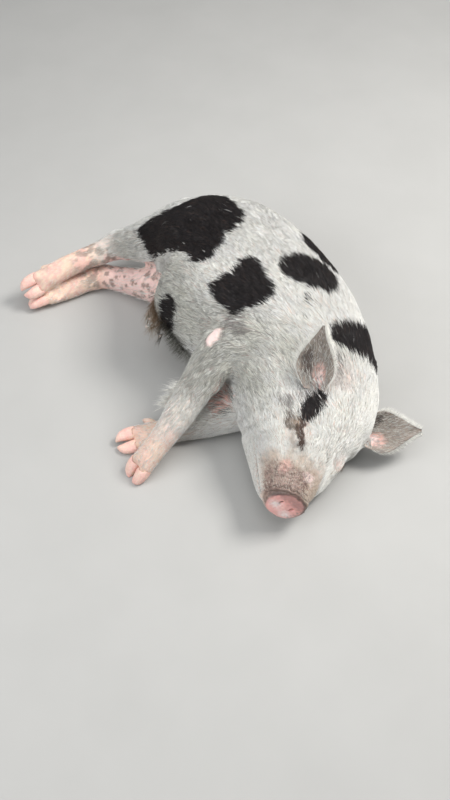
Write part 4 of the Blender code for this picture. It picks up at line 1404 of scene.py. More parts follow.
@dataclass
class Skin:
    """One skin over the flesh, inside the solids by the depth of the coat."""

    flesh: tuple[str, ...] = (
        "head", "neck", "torso", "tail",
        "shank_right", "hindfoot_right", "shank_left", "hindfoot_left",
        "forearm_right", "forefoot_right", "forearm_left", "forefoot_left",
    )
    close_gap: float = 0.0007
    voxel: float = 0.003
    smooth_rounds: int = 5
    trunk_depth: float = 0.0042
    face_depth: float = 0.0016
    tail_depth: float = 0.0012
    floor: float = 0.0006
    fine_zones: tuple[Pair, ...] = ((0.15, 0.14), (0.062, 0.08))
    lid_zone: float = 0.03
    socket_plug: Triple = (0.0125, 0.0125, 0.0118)
    lid_plug: Triple = (0.019, 0.012, 0.0062)
    nostril_plug: Triple = (0.0118, 0.0085, 0.0105)
    obj: Object = field(init=False)

    def build(self) -> Object:
        """Make the skin with its face, ears and colours.

        Returns:
            The skin as one closed mesh.
        """
        self.obj = self._fused()
        self._sink()
        self._refine()
        self._carve()
        self._grow_ears()
        self._colour()
        return self.obj

    def _fused(self) -> Object:
        """Join copies of the flesh nodes and fill sockets and nostrils."""
        bm = bmesh.new()
        for name in self.flesh:
            part = bmesh.new()
            part.from_mesh(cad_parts[name].data)
            bmesh.ops.remove_doubles(part, verts=part.verts, dist=WELD)
            part.normal_update()
            for vertex in part.verts:
                vertex.co += vertex.normal * self.close_gap
            mesh = bpy.data.meshes.new("Part")
            part.to_mesh(mesh)
            part.free()
            bm.from_mesh(mesh)
            bpy.data.meshes.remove(mesh)
        for plug in self._plugs():
            bm.from_mesh(plug.data)
            bpy.data.objects.remove(plug, do_unlink=True)
        obj = shape("skin", bm)
        fuse(obj, self.voxel, self.smooth_rounds)
        return obj

    def _plugs(self) -> list[Object]:
        """Forms that close the eye sockets and nostrils before fusing."""
        plugs = []
        for eye in EYES:
            axes = (eye.along, eye.upper, eye.outward)
            plugs.append(ellipsoid(eye.centre, axes, self.socket_plug))
            front = eye.centre + eye.outward * 0.006
            plugs.append(ellipsoid(front, axes, self.lid_plug))
        for side in (-1, 1):
            centre = HEAD.world(0.0115, side * FACE.nostril_left, 0.0)
            axes = (HEAD.ahead, HEAD.left, HEAD.up)
            plugs.append(ellipsoid(centre, axes, self.nostril_plug))
        return plugs

    def depth(self, points: Array, normals: Array) -> Array:
        """Depth of the coat over each point of the skin.

        Args:
            points: Rows of positions.
            normals: Surface normals there.

        Returns:
            Depths in metres.
        """
        site = ANATOMY.site(points, normals)
        behind = site.head[:, 0]
        depth = np.full(len(points), self.trunk_depth)
        face = self.face_depth + (self.trunk_depth - self.face_depth) * ease(0.1, 0.22, behind)
        face = face * ease(0.018, 0.06, behind)
        depth = np.where(site.within(Region.HEAD), face, depth)
        shrink = 1.0 - 0.9 * ease(0.1, 0.75, site.along)
        depth = np.where(site.within(*LEGS), depth * shrink, depth)
        depth = np.where(site.within(Region.TAIL), self.tail_depth, depth)
        for eye in EYES:
            depth = depth * ease(0.012, 0.034, eye.far(points))
        bare = 1.0 - 0.9 * np.maximum(CALLUS.cover(points), AXILLA.cover(points))
        return depth * bare

    def _sink(self) -> None:
        """Move the skin in by the depth of the coat, level on the floor."""
        points, normals, _ = mesh_arrays(self.obj)
        depth = self.depth(points, normals)
        low = ease(0.022, 0.004, points[:, 2]) * ease(-0.3, -0.8, normals[:, 2])
        inward = normals.copy()
        inward[:, 2] *= 1.0 - 0.85 * low
        points = points - inward * depth[:, None]
        points[:, 2] = np.maximum(points[:, 2], self.floor)
        set_points(self.obj, points)

    def _refine(self) -> None:
        """Give the face, and then the snout and lids, a finer mesh."""
        for level, (behind, reach) in enumerate(self.fine_zones):
            bm = bmesh.new()
            bm.from_mesh(self.obj.data)
            points = np.array([v.co for v in bm.verts])
            head = HEAD.local(points)
            chosen = (head[:, 0] < behind) & (np.hypot(head[:, 1], head[:, 2]) < reach)
            if level:
                for eye in EYES:
                    chosen |= eye.far(points) < self.lid_zone
            chosen &= head[:, 0] > -0.05
            bm.verts.ensure_lookup_table()
            edges = [e for e in bm.edges if all(chosen[v.index] for v in e.verts)]
            made = bmesh.ops.subdivide_edges(bm, edges=edges, cuts=1, use_grid_fill=True)
            fresh = {g for g in made["geom_inner"] if isinstance(g, bmesh.types.BMVert)}
            around = set(fresh)
            for vertex in fresh:
                around.update(e.other_vert(vertex) for e in vertex.link_edges)
            for _ in range(3):
                axes = {f"use_axis_{axis}": True for axis in "xyz"}
                bmesh.ops.smooth_vert(bm, verts=list(around), factor=0.5, **axes)
            bm.to_mesh(self.obj.data)
            bm.free()

    def _carve(self) -> None:
        """Carve folds, lids, lips and nostrils."""
        points, normals, _ = mesh_arrays(self.obj)
        set_points(self.obj, FACE.carve(points, normals))

    def _grow_ears(self) -> None:
        """Fuse both ears to the head and soften their roots."""
        for ear in EARS:
            shell = ear.build()
            modify(self.obj, "BOOLEAN", operation="UNION", solver="MANIFOLD", object=shell)
            bake_modifiers(self.obj)
            bpy.data.objects.remove(shell, do_unlink=True)
        points, _, _ = mesh_arrays(self.obj)
        group = self.obj.vertex_groups.new(name="roots")
        for ear in EARS:
            s, x, off = ear.place(points)
            near = (s > -0.1) & (s < 0.26) & (np.abs(x) < 1.7) & (np.abs(off) < 0.03)
            soft = ease(0.26, 0.16, s)
            for index in np.nonzero(near)[0]:
                group.add([int(index)], float(soft[index]), "ADD")
        modify(self.obj, "SMOOTH", factor=0.5, iterations=6, vertex_group="roots")
        bake_modifiers(self.obj)
        self.obj.vertex_groups.clear()

    def _colour(self) -> None:
        """Paint the markings and the wet places onto the skin."""
        points, normals, _ = mesh_arrays(self.obj)
        site = ANATOMY.site(points, normals)
        paint(self.obj.data, "tint", MARKINGS.hide(site))
        damp = (0.25 * MARKINGS.pinkness(site), 0.35 * MARKINGS.bridge(site))
        slits = (0.8 * FACE.slit(eye, points) for eye in EYES)
        wet = np.maximum.reduce((MARKINGS.disc(site), *damp, *slits))
        layer = self.obj.data.attributes.new("wet", "FLOAT", "POINT")
        layer.data.foreach_set("value", wet.astype(np.float32))
        shade_smooth(self.obj.data)
        self.obj.data.update()


# The coat.


@dataclass
class Tufts:
    """A batch of tufts: roots, lie and sizes, one row each."""

    root: Array
    normal: Array
    way: Array
    length: Array
    width: Array
    lift: Array
    colour: Array
    place: Array

    def take(self, chosen: Array) -> "Tufts":
        """The chosen rows as a batch of their own."""
        return Tufts(*(getattr(self, name)[chosen] for name in self.__dataclass_fields__))


class TuftMesher:
    """Turns tufts into thin three-sided tapered strands."""

    patch: float = 0.003
    floor: float = 0.0007
    reach: float = 0.03

    def __init__(self, surface: BVHTree) -> None:
        """Keep the surface that the tufts lie on."""
        self.surface = surface

    def follow(self, points: Array, fallback: Array) -> tuple[Array, Array]:
        """Drop points onto the surface.

        Args:
            points: Rows of positions.
            fallback: Normals used where nothing is near.

        Returns:
            Positions on the surface and normals there.
        """
        foot = points.copy()
        normal = fallback.copy()
        find = self.surface.find_nearest
        for i, point in enumerate(points.tolist()):
            hit = find(point, self.reach)
            if hit[0] is not None:
                foot[i] = hit[0]
                normal[i] = hit[1]
        return foot, normal

    def mesh(self, name: str, tufts: Tufts, follow: bool = True) -> Object:
        """Make one object of many tufts.

        Args:
            name: Name of the object.
            tufts: The tufts.
            follow: Whether the strands hug the surface under them.

        Returns:
            The linked object.
        """
        count = len(tufts.root)
        way = tufts.way
        length = tufts.length[:, None]
        lift = tufts.lift[:, None]
        middle = tufts.root + way * length * 0.48
        tip = tufts.root + way * length
        if follow:
            middle_foot, middle_normal = self.follow(middle, tufts.normal)
            tip_foot, tip_normal = self.follow(tip, tufts.normal)
            middle = middle_foot + middle_normal * length * lift * 0.75
            tip = tip_foot + tip_normal * length * lift
        else:
            middle = middle + tufts.normal * length * lift * 0.35
            tip = tip + tufts.normal * length * lift
            middle_normal = tufts.normal
        side = unit(np.cross(way, tufts.normal))
        side_mid = unit(np.cross(tip - middle, middle_normal))
        half = tufts.width[:, None] / 2
        start = tufts.root - tufts.normal * half * 1.2
        rings = (
            start - side * half,
            start + side * half,
            start + tufts.normal * half * 1.1,
            middle - side_mid * half * 0.72,
            middle + side_mid * half * 0.72,
            middle + middle_normal * half * 0.7,
            tip,
        )
        points = np.stack(rings, 1)
        points[..., 2] = np.maximum(points[..., 2], self.floor)
        pattern = np.array(
            (
                (0, 1, 4), (0, 4, 3), (1, 2, 5), (1, 5, 4), (2, 0, 3), (2, 3, 5), (3, 4, 6),
                (4, 5, 6), (5, 3, 6),
            )
        )
        triangles = pattern[None] + (np.arange(count) * 7)[:, None, None]
        spots = np.array(
            ((-1, -1), (1, -1), (0, 0), (-1, 0.3), (1, 0.3), (0, 0.6), (0, 1))
        )
        low = tufts.place.min(0)
        span = np.maximum(tufts.place.max(0) - low, 1e-6)
        place = 0.004 + 0.992 * (tufts.place - low) / span
        corner = place[:, None, None, :] + spots[pattern][None] * self.patch / 2
        # Painted shade: each strand darker at its root and a little lighter at its tip.
        shade = np.array((0.82, 0.82, 0.86, 0.97, 0.97, 1.0, 1.03))
        colours = np.clip(tufts.colour[:, None, :] * shade[None, :, None], 0, 1)
        return triangle_object(
            name,
            points.reshape(-1, 3),
            triangles.reshape(-1, 3),
            colours.reshape(-1, 3),
            corner.reshape(-1, 2),
        )


# Stretches that share a run of coat pieces.
COAT_GROUPS = {
    "trunk": (Region.TRUNK,),
    "head": (Region.HEAD,),
    "hind": (Region.HIND_RIGHT, Region.HIND_LEFT, Region.TAIL),
    "fore": (Region.FORE_RIGHT, Region.FORE_LEFT),
    "ears": (Region.EAR_RIGHT, Region.EAR_LEFT),
}


@dataclass
class Coat:
    """Bristles laid over the skin in overlapping tufts."""

    skin: Object
    count: int = 160000
    per_piece: int = 21500
    trunk_length: float = 0.0185
    trunk_width: float = 0.00098
    pieces: list[Object] = field(default_factory=list)

    def build(self) -> list[Object]:
        """Grow, comb and mesh the whole coat.

        Returns:
            The coat's pieces.
        """
        draw = np.random.default_rng(SEED)
        points, normals, triangles = mesh_arrays(self.skin)
        surface = BVHTree.FromPolygons(points.tolist(), triangles.tolist())
        mesher = TuftMesher(surface)
        count = self.count
        root, normal = self._scatter(points, normals, triangles, count, draw)
        site = ANATOMY.site(root, normal)
        tufts = self._comb(site, normal, draw)
        order = np.lexsort((tufts.place[:, 0], site.region))
        tufts = tufts.take(order)
        region = site.region[order]
        for group, members in COAT_GROUPS.items():
            chosen = np.nonzero(np.isin(region, [member.value for member in members]))[0]
            share = max(1, math.ceil(len(chosen) / self.per_piece))
            for number, rows in enumerate(np.array_split(chosen, share), 1):
                if len(rows):
                    piece = mesher.mesh(f"coat_{group}_{number}", tufts.take(rows))
                    self.pieces.append(piece)
        self.pieces.append(Fringe(mesher, draw).build())
        return self.pieces

    def _scatter(
        self, points: Array, normals: Array, triangles: Array, count: int, draw: Draw
    ) -> tuple[Array, Array]:
        """Spread roots over the skin by area and density.

        Args:
            points: Skin positions.
            normals: Skin normals.
            triangles: Skin triangles.
            count: Number of roots.
            draw: Seeded source of variation.

        Returns:
            Roots and the normals there.
        """
        corners = points[triangles]
        cross = np.cross(corners[:, 1] - corners[:, 0], corners[:, 2] - corners[:, 0])
        area = np.linalg.norm(cross, axis=1) / 2
        middle = corners.mean(1)
        facing = unit(normals[triangles].mean(1))
        site = ANATOMY.site(middle, facing)
        weight = area * self._density(site, facing)
        chosen = draw.choice(len(area), count, p=weight / weight.sum())
        u = draw.random(count)
        v = draw.random(count)
        flip = u + v > 1
        u = np.where(flip, 1 - u, u)[:, None]
        v = np.where(flip, 1 - v, v)[:, None]
        corner = corners[chosen]
        root = corner[:, 0] + u * (corner[:, 1] - corner[:, 0])
        root = root + v * (corner[:, 2] - corner[:, 0])
        turned = normals[triangles[chosen]]
        normal = turned[:, 0] * (1 - u - v) + turned[:, 1] * u + turned[:, 2] * v
        return root, unit(normal)

    @staticmethod
    def _density(site: Site, normals: Array) -> Array:
        """Relative number of tufts on each square of hide."""
        points = site.points
        density = np.ones(len(points))
        behind = site.head[:, 0]
        head = site.within(Region.HEAD)
        density = np.where(head, 1.7, density)
        density = np.where(head & (behind < 0.11), 2.4, density)
        density = density * (1.0 - 0.86 * MARKINGS.bridge(site))
        disc = np.maximum(MARKINGS.disc(site), MARKINGS.rim(site))
        density = density * (1.0 - 0.999 * disc)
        density = np.where(head & (behind < 0.012), 0.0, density)
        fore = site.within(Region.FORE_RIGHT, Region.FORE_LEFT)
        shank = site.within(Region.HIND_RIGHT) * ease(0.46, 0.56, site.along)
        for share, thin in (
            (np.where(fore, 0.45, 0.66), MARKINGS.foot(site)),
            (0.7, shank),
            (0.8, MARKINGS.pinkness(site)),
            (0.8, MARKINGS.inner_thigh(site)),
        ):
            density = density * (1.0 - share * thin)
        steps = (0.0, 0.008, 0.015)
        bald = np.maximum.reduce([CALLUS.cover(points + s * site.lie, 0.001) for s in steps])
        density = density * (1.0 - 0.99 * bald)
        for ear in EARS:
            off = ear.place(points)[2]
            grown = np.where(off > 0, 0.42, 1.2)
            density = np.where(site.within(ear.region), grown, density)
        held = MARKINGS.ear_parts(site)[0] * (site.region < Region.EAR_RIGHT.value)
        density = density * (1.0 - 0.72 * held)
        for eye in EYES:
            x, y, out = eye.local(points)
            reach = np.hypot(x / 0.012, y / 0.003)
            density = density * np.where(out > 0, ease(0.8, 1.3, reach), 1.0)
        hidden = (points[:, 2] < 0.006) & (normals[:, 2] < -0.6)
        density = np.where(hidden, 0.12 * density, density)
        toe = site.within(*LEGS) & (site.along > 0.985)
        return np.where(toe, 0.0, density)

    def _comb(self, site: Site, normal: Array, draw: Draw) -> Tufts:
        """Give every root its direction, length, width, lift and colour.

        Args:
            site: Roots with their anatomy.
            normal: Surface normals there.
            draw: Seeded source of variation.

        Returns:
            The tufts, ready to mesh.
        """
        count = len(site.points)
        length, width, lift = self._sizes(site)
        length = length * draw.uniform(0.7, 1.18, count)
        width = width * draw.uniform(0.75, 1.25, count)
        lift = np.clip(lift * draw.uniform(0.5, 1.5, count), 0.0, 0.6)
        swirl = 0.22 * Wobble(0.05, 91)(site.points) + 0.16 * Wobble(0.016, 92)(site.points)
        turn = swirl + draw.normal(0.0, 0.13, count)
        across = np.cross(normal, site.lie)
        way = site.lie * np.cos(turn)[:, None] + across * np.sin(turn)[:, None]
        colour = MARKINGS.bristle(site, way * length[:, None], draw)
        place = np.stack((site.along + 1.1 * site.region, site.angle), 1)
        return Tufts(site.points, normal, way, length, width, lift, colour, place)

    def _sizes(self, site: Site) -> tuple[Array, Array, Array]:
        """Length, width and lift of the tufts by place."""
        count = len(site.points)
        behind = site.head[:, 0]
        length = np.full(count, self.trunk_length)
        width = np.full(count, self.trunk_width)
        lift = np.full(count, 0.1)
        head = site.within(Region.HEAD)
        face = 0.0055 + 0.0135 * ease(0.03, 0.16, behind)
        length = np.where(head, face, length)
        width = np.where(head, 0.00062 + 0.00036 * ease(0.05, 0.18, behind), width)
        lift = np.where(head, 0.12, lift)
        leg = site.within(*LEGS)
        down = ease(0.05, 0.8, site.along)
        length = np.where(leg, 0.021 - 0.0145 * down, length)
        width = np.where(leg, 0.00092 - 0.00042 * down, width)
        lift = np.where(leg, 0.14, lift)
        tail = site.within(Region.TAIL)
        length = np.where(tail, 0.01 + 0.012 * ease(0.4, 1.0, site.along), length)
        width = np.where(tail, 0.0007, width)
        ear = site.region >= Region.EAR_RIGHT.value
        length = np.where(ear, 0.0085, length)
        width = np.where(ear, 0.0005, width)
        lift = np.where(ear, 0.12, lift)
        for eye in EYES:
            near = ease(0.034, 0.016, eye.far(site.points))
            length = length * (1.0 - 0.55 * near)
            width = width * (1.0 - 0.35 * near)
        return length, width, lift


@dataclass
class Fringe:
    """Longer bristles that stand out: ear edges, lashes, tail tip, wisps."""

    mesher: TuftMesher
    draw: Draw
    white: Triple = (0.88, 0.87, 0.82)
    lash: Triple = (0.16, 0.11, 0.08)
    edge_count: int = 1000
    cup_count: int = 160
    lash_count: int = 46
    tail_count: int = 420
    rows: list[Tufts] = field(default_factory=list)

    def build(self) -> Object:
        """Make all fringes as one piece of the coat.

        Returns:
            The linked object.
        """
        for ear in EARS:
            self._ear_edges(ear)
        for eye in EYES:
            self._lashes(eye)
        self._tail_tip()
        self._wisps()
        names = Tufts.__dataclass_fields__
        joined = Tufts(*(np.concatenate([getattr(r, n) for r in self.rows]) for n in names))
        return self.mesher.mesh("coat_fringe", joined, follow=False)

    def _add(
        self, root: Array, normal: Array, way: Array, length: Array, width: float, lift: float,
        colour: Triple, place: Array,
    ) -> None:
        """Add a run of tufts with small variations."""
        count = len(root)
        tint = np.array(colour) * self.draw.normal(1.0, 0.06, count)[:, None]
        self.rows.append(
            Tufts(
                root,
                unit(normal),
                unit(way + self.draw.normal(0.0, 0.1, (count, 3))),
                length * self.draw.uniform(0.7, 1.2, count),
                width * self.draw.uniform(0.8, 1.2, count),
                lift * self.draw.uniform(0.4, 1.5, count),
                np.clip(tint, 0.0, 0.95),
                place,
            )
        )

    def _ear_edges(self, ear: EarShape) -> None:
        """White hairs along both edges of an ear and in its cup."""
        count = self.edge_count
        s = self.draw.uniform(0.1, 0.98, count)
        side = np.where(self.draw.random(count) < 0.5, -1.0, 1.0)
        inset = self.draw.uniform(0.8, 0.995, count)
        root = ear.middle(s, side * inset)
        way = ear.axis + ear.side * (side * 0.9)[:, None]
        normal = np.tile(ear.facing, (count, 1)) * np.where(
            self.draw.random(count) < 0.5, -1.0, 1.0
        )[:, None]
        length = 0.0085 + 0.004 * np.sin(math.pi * s)
        place = np.stack((s, 0.5 + side * 0.3), 1)
        self._add(root, normal, way, length, 0.0004, 0.1, self.white, place)
        count = self.cup_count
        s = self.draw.uniform(0.16, 0.62, count)
        x = self.draw.uniform(-0.85, 0.85, count)
        root = ear.middle(s, x) + ear.facing * ear.thickness / 2
        way = ear.axis * 0.9 + ear.side * (0.8 * x)[:, None]
        normal = np.tile(ear.facing, (count, 1))
        length = np.full(count, 0.013)
        place = np.stack((s, 0.5 + x * 0.2), 1)
        self._add(root, normal, way, length, 0.0005, 0.35, self.white, place)

    def _lashes(self, eye: EyePlace) -> None:
        """Lashes of the closed upper lid."""
        count = self.lash_count
        x = self.draw.uniform(-0.012, 0.012, count)
        start = eye.centre + eye.outward * 0.03
        root = start + eye.along * x[:, None] - eye.upper * 0.0012
        foot, normal = self.mesher.follow(root, np.tile(eye.outward, (count, 1)))
        way = -eye.upper * 0.9 + eye.outward * 0.25 + eye.along * (x * 20)[:, None]
        length = np.full(count, 0.0085)
        place = np.stack((0.5 + x * 10, np.full(count, 0.1)), 1)
        self._add(foot, normal, way, length, 0.0004, 0.15, self.lash, place)

    def _tail_tip(self) -> None:
        """Brush of longer bristles at the end of the tail."""
        count = self.tail_count
        guide = next(g for g in GUIDES if g.region is Region.TAIL)
        line = metres(guide.points)
        t = self.draw.uniform(2.4, 4.99, count)
        centre = between(line, t)
        way = unit(between(unit(np.gradient(line, axis=0)), t))
        normal = flatten_to(way, self.draw.normal(size=(count, 3)))
        radius = np.interp(t, range(len(guide.radii)), metres(guide.radii))[:, None]
        root = centre + normal * radius * 0.8
        root[:, 2] = np.maximum(root[:, 2], 0.0015)
        length = 0.014 + 0.01 * (t - 2.4) / 2.6
        place = np.stack((t / 5.0, self.draw.random(count)), 1)
        self._add(root, normal, way, length, 0.0008, 0.16, self.white, place)

    def _wisps(self) -> None:
        """Longer hair along the belly's edge, in front of the groin and behind the foreleg."""
        for wisp in WISPS:
            line = np.array(wisp.line)
            t = self.draw.uniform(0.0, len(line) - 1.001, wisp.count)
            around = between(line, t) + self.draw.normal(0.0, wisp.spread, (wisp.count, 3))
            way = np.tile(unit(np.array(wisp.way)), (wisp.count, 1))
            foot, normal = self.mesher.follow(around, way)
            ways = way + wisp.loose * self.draw.normal(size=(wisp.count, 3))
            place = np.stack((t, self.draw.random(wisp.count)), 1)
            length = np.full(wisp.count, wisp.length)
            self._add(foot, normal, ways, length, wisp.width, wisp.lift, wisp.colour, place)


@dataclass(frozen=True)
class Wisp:
    """A run of longer loose hair along a line near the hide."""

    line: tuple[Triple, ...]
    way: Triple
    count: int
    length: float
    colour: Triple
    spread: float = 0.006
    width: float = 0.0007
    loose: float = 0.22
    lift: float = 0.1


WISPS = (
    # Dark hair along the belly's edge.
    Wisp(
        (
            (-0.176, -0.048, 0.13), (-0.164, -0.06, 0.108), (-0.148, -0.072, 0.092),
            (-0.13, -0.086, 0.076),
        ),
        (-0.42, -0.8, -0.1),
        count=420, length=0.024, colour=(0.085, 0.08, 0.066),
    ),
    Wisp(
        ((-0.16, -0.062, 0.108), (-0.134, -0.082, 0.088), (-0.116, -0.098, 0.072)),
        (-0.35, -0.85, 0.0),
        count=200, length=0.022, colour=(0.42, 0.42, 0.38),
    ),
    # Reddish tuft in front of the groin.
    Wisp(
        ((-0.184, 0.01, 0.14), (-0.186, -0.02, 0.128), (-0.178, -0.044, 0.112)),
        (-0.5, -0.78, -0.3),
        count=420, length=0.024, colour=(0.2, 0.13, 0.08), spread=0.009,
    ),
    Wisp(
        ((-0.19, 0.0, 0.12), (-0.184, -0.036, 0.104)),
        (-0.4, -0.8, -0.35),
        count=180, length=0.026, colour=(0.38, 0.3, 0.21), spread=0.008,
    ),
    # White hair behind the right forearm.
    Wisp(
        ((-0.128, -0.192, 0.13), (-0.146, -0.198, 0.112), (-0.162, -0.21, 0.094)),
        (-0.85, -0.25, 0.1),
        count=200, length=0.022, colour=(0.88, 0.87, 0.82),
    ),
)


# Claws.


@dataclass
class Horn:
    """A claw with a finer skin over its solid."""

    name: str
    node: str
    voxel: float = 0.0011
    smooth_rounds: int = 5

    def build(self) -> Object:
        """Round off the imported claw.

        Returns:
            The claw as its own object.
        """
        bm = bmesh.new()
        bm.from_mesh(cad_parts[self.node].data)
        bmesh.ops.remove_doubles(bm, verts=bm.verts, dist=WELD)
        obj = shape(self.name, bm)
        fuse(obj, self.voxel, self.smooth_rounds)
        shade_smooth(obj.data)
        return obj


# Shader graphs.


class Signal:
    """A socket that adds its own Math nodes when used in an expression."""

    def __init__(self, graph: "Graph", socket: bpy.types.NodeSocket) -> None:
        """Wrap an output socket of a graph."""
        self.graph = graph
        self.socket = socket

    def _math(self, kind: str, first: object, second: object) -> "Signal":
        """Add one Math node."""
        inputs = {0: first, 1: second}
        return self.graph.output(0, "ShaderNodeMath", {"operation": kind}, inputs)

    def __add__(self, other: object) -> "Signal":
        """Sum."""
        return self._math("ADD", self, other)

    __radd__ = __add__

    def __mul__(self, other: object) -> "Signal":
        """Product."""
        return self._math("MULTIPLY", self, other)

    __rmul__ = __mul__

    def __sub__(self, other: object) -> "Signal":
        """Difference."""
        return self._math("SUBTRACT", self, other)

    def __rsub__(self, other: object) -> "Signal":
        """Difference with the socket taken away."""
        return self._math("SUBTRACT", other, self)


class Graph:
    """One material's node tree."""

    def __init__(self, name: str) -> None:
        """Start a named material with a Principled shader."""
        self.material = bpy.data.materials.new(name)
        self.material.use_nodes = True
        self.tree = self.material.node_tree
        self.shader = self.tree.nodes["Principled BSDF"]

    def node(
        self, kind: str, settings: dict[str, object], inputs: dict[object, object]
    ) -> bpy.types.Node:
        """Add a node.

        Args:
            kind: Type of the node.
            settings: Properties set before anything is linked.
            inputs: Value or signal for each socket.

        Returns:
            The node.
        """
        made = self.tree.nodes.new(kind)
        for key, value in settings.items():
            if key == "stops":
                self._stops(made, value)
            else:
                setattr(made, key, value)
        for key, value in inputs.items():
            self.feed(made.inputs[key], value)
        return made

    def output(
        self, name: object, kind: str, settings: dict[str, object], inputs: dict[object, object]
    ) -> Signal:
        """Add a node and wrap one of its outputs."""
        return Signal(self, self.node(kind, settings, inputs).outputs[name])

    @staticmethod
    def _stops(ramp: bpy.types.Node, stops: Sequence[tuple[float, Sequence[float]]]) -> None:
        """Set the colours of a ramp."""
        elements = ramp.color_ramp.elements
        while len(elements) < len(stops):
            elements.new(0.5)
        for element, (place, colour) in zip(elements, stops):
            element.position = place
            element.color = (*colour, 1.0)

    def feed(self, socket: bpy.types.NodeSocket, value: object) -> None:
        """Link a signal to a socket, or set its value."""
        if isinstance(value, Signal):
            self.tree.links.new(value.socket, socket)
        else:
            socket.default_value = value

    def attribute(self, name: str, output: str) -> Signal:
        """Read a named vertex value."""
        return self.output(output, "ShaderNodeAttribute", {"attribute_name": name}, {})

    def place(self) -> Signal:
        """Position on the object."""
        return self.output("Object", "ShaderNodeTexCoord", {}, {})

    def noise(self, scale: float, detail: float = 3.0, rough: float = 0.55) -> Signal:
        """Smooth noise through space."""
        inputs = {"Vector": self.place(), "Scale": scale, "Detail": detail, "Roughness": rough}
        return self.output("Fac", "ShaderNodeTexNoise", {}, inputs)

    def cells(self, scale: float) -> Signal:
        """Distance to the nearest of many scattered points."""
        inputs = {"Vector": self.place(), "Scale": scale}
        return self.output("Distance", "ShaderNodeTexVoronoi", {}, inputs)

    def mix(self, factor: object, first: object, second: object, kind: str = "MIX") -> Signal:
        """Mix a share of a second colour into a first one."""
        settings = {"data_type": "RGBA", "blend_type": kind}
        return self.output(2, "ShaderNodeMix", settings, {0: factor, 6: first, 7: second})

    def ramp(self, value: Signal, stops: Sequence[tuple[float, Sequence[float]]]) -> Signal:
        """Turn a number into a colour."""
        return self.output("Color", "ShaderNodeValToRGB", {"stops": stops}, {"Fac": value})

    def bump(self, height: Signal, distance: float, strength: float = 1.0) -> Signal:
        """Turn a height into a surface direction."""
        inputs = {"Height": height, "Distance": distance, "Strength": strength}
        return self.output("Normal", "ShaderNodeBump", {}, inputs)

    def finish(self, **inputs: object) -> Material:
        """Feed the shader's sockets, named with underscores for spaces."""
        for key, value in inputs.items():
            self.feed(self.shader.inputs[key.replace("_", " ")], value)
        return self.material


@dataclass(frozen=True)
class SkinFinish:
    """Living hide: pores, fine creases and a damp sheen where it is wet."""

    pore_scale: float = 520.0
    crease_scale: float = 150.0

    def make(self) -> Material:
        """Build the material."""
        graph = Graph("hide_skin")
        tint = graph.attribute("tint", "Color")
        wet = graph.attribute("wet", "Fac")
        broad = graph.noise(36.0, 4.0)
        fine = graph.noise(self.crease_scale, 4.0, 0.6)
        pores = graph.cells(self.pore_scale)
        shade = graph.ramp(
            broad, ((0.3, (0.8, 0.78, 0.78)), (0.7, (1.08, 1.06, 1.05)))
        )
        colour = graph.mix(0.85, tint, shade, "MULTIPLY")
        blush = graph.ramp(fine, ((0.35, (0.9, 0.84, 0.83)), (0.62, (1.0, 1.0, 1.0))))
        colour = graph.mix(0.5, colour, blush, "MULTIPLY")
        height = fine * 0.6 + pores * 0.5
        return graph.finish(
            Base_Color=colour,
            Roughness=0.62 - wet * 0.36 + fine * 0.08,
            Normal=graph.bump(height, 0.0007, 0.8),
            Subsurface_Weight=0.12, Subsurface_Radius=(0.01, 0.004, 0.002), Subsurface_Scale=0.4,
            Specular_IOR_Level=0.45,
        )


@dataclass(frozen=True)
class BristleFinish:
    """Stiff bristle with a soft shine along it."""

    roughness: float = 0.42

    def make(self) -> Material:
        """Build the material."""
        graph = Graph("bristle")
        tint = graph.attribute("tint", "Color")
        broad = graph.noise(22.0, 2.0)
        shade = graph.ramp(broad, ((0.3, (0.92, 0.92, 0.93)), (0.7, (1.0, 1.0, 0.985))))
        return graph.finish(
            Base_Color=graph.mix(1.0, tint, shade, "MULTIPLY"),
            Roughness=self.roughness + broad * 0.12,
            Specular_IOR_Level=0.35,
        )


@dataclass(frozen=True)
class HornFinish:
    """Pink horn of the claws, mottled and a little scuffed."""

    def make(self) -> Material:
        """Build the material."""
        graph = Graph("claw_horn")
        broad = graph.noise(70.0, 3.0)
        fine = graph.noise(520.0, 4.0, 0.65)
        colour = graph.ramp(
            broad,
            (
                (0.3, (0.9, 0.68, 0.57)),
                (0.52, (0.89, 0.59, 0.52)),
                (0.72, (0.86, 0.5, 0.45)),
            ),
        )
        scuff = graph.ramp(fine, ((0.42, (0.8, 0.74, 0.68)), (0.6, (1.0, 1.0, 1.0))))
        return graph.finish(
            Base_Color=graph.mix(0.55, colour, scuff, "MULTIPLY"),
            Roughness=0.34 + fine * 0.22,
            Normal=graph.bump(fine, 0.0004, 0.6),
            Subsurface_Weight=0.1, Subsurface_Radius=(0.006, 0.002, 0.001), Subsurface_Scale=0.3,
        )


@dataclass(frozen=True)
class EyeFinish:
    """Wet dark eye behind the lids."""

    def make(self) -> Material:
        """Build the material."""
        graph = Graph("eye_wet")
        veil = graph.noise(300.0, 2.0)
        colour = graph.ramp(veil, ((0.3, (0.03, 0.02, 0.014)), (0.7, (0.075, 0.045, 0.03))))
        return graph.finish(Base_Color=colour, Roughness=0.1, Specular_IOR_Level=0.6)


@dataclass(frozen=True)
class FloorFinish:
    """Plain pale studio floor."""

    def make(self) -> Material:
        """Build the material."""
        graph = Graph("studio_floor")
        grain = graph.noise(6.0, 3.0)
        colour = graph.ramp(grain, ((0.3, (0.42, 0.42, 0.41)), (0.7, (0.44, 0.44, 0.43))))
        return graph.finish(Base_Color=colour, Roughness=0.85)


# Studio.


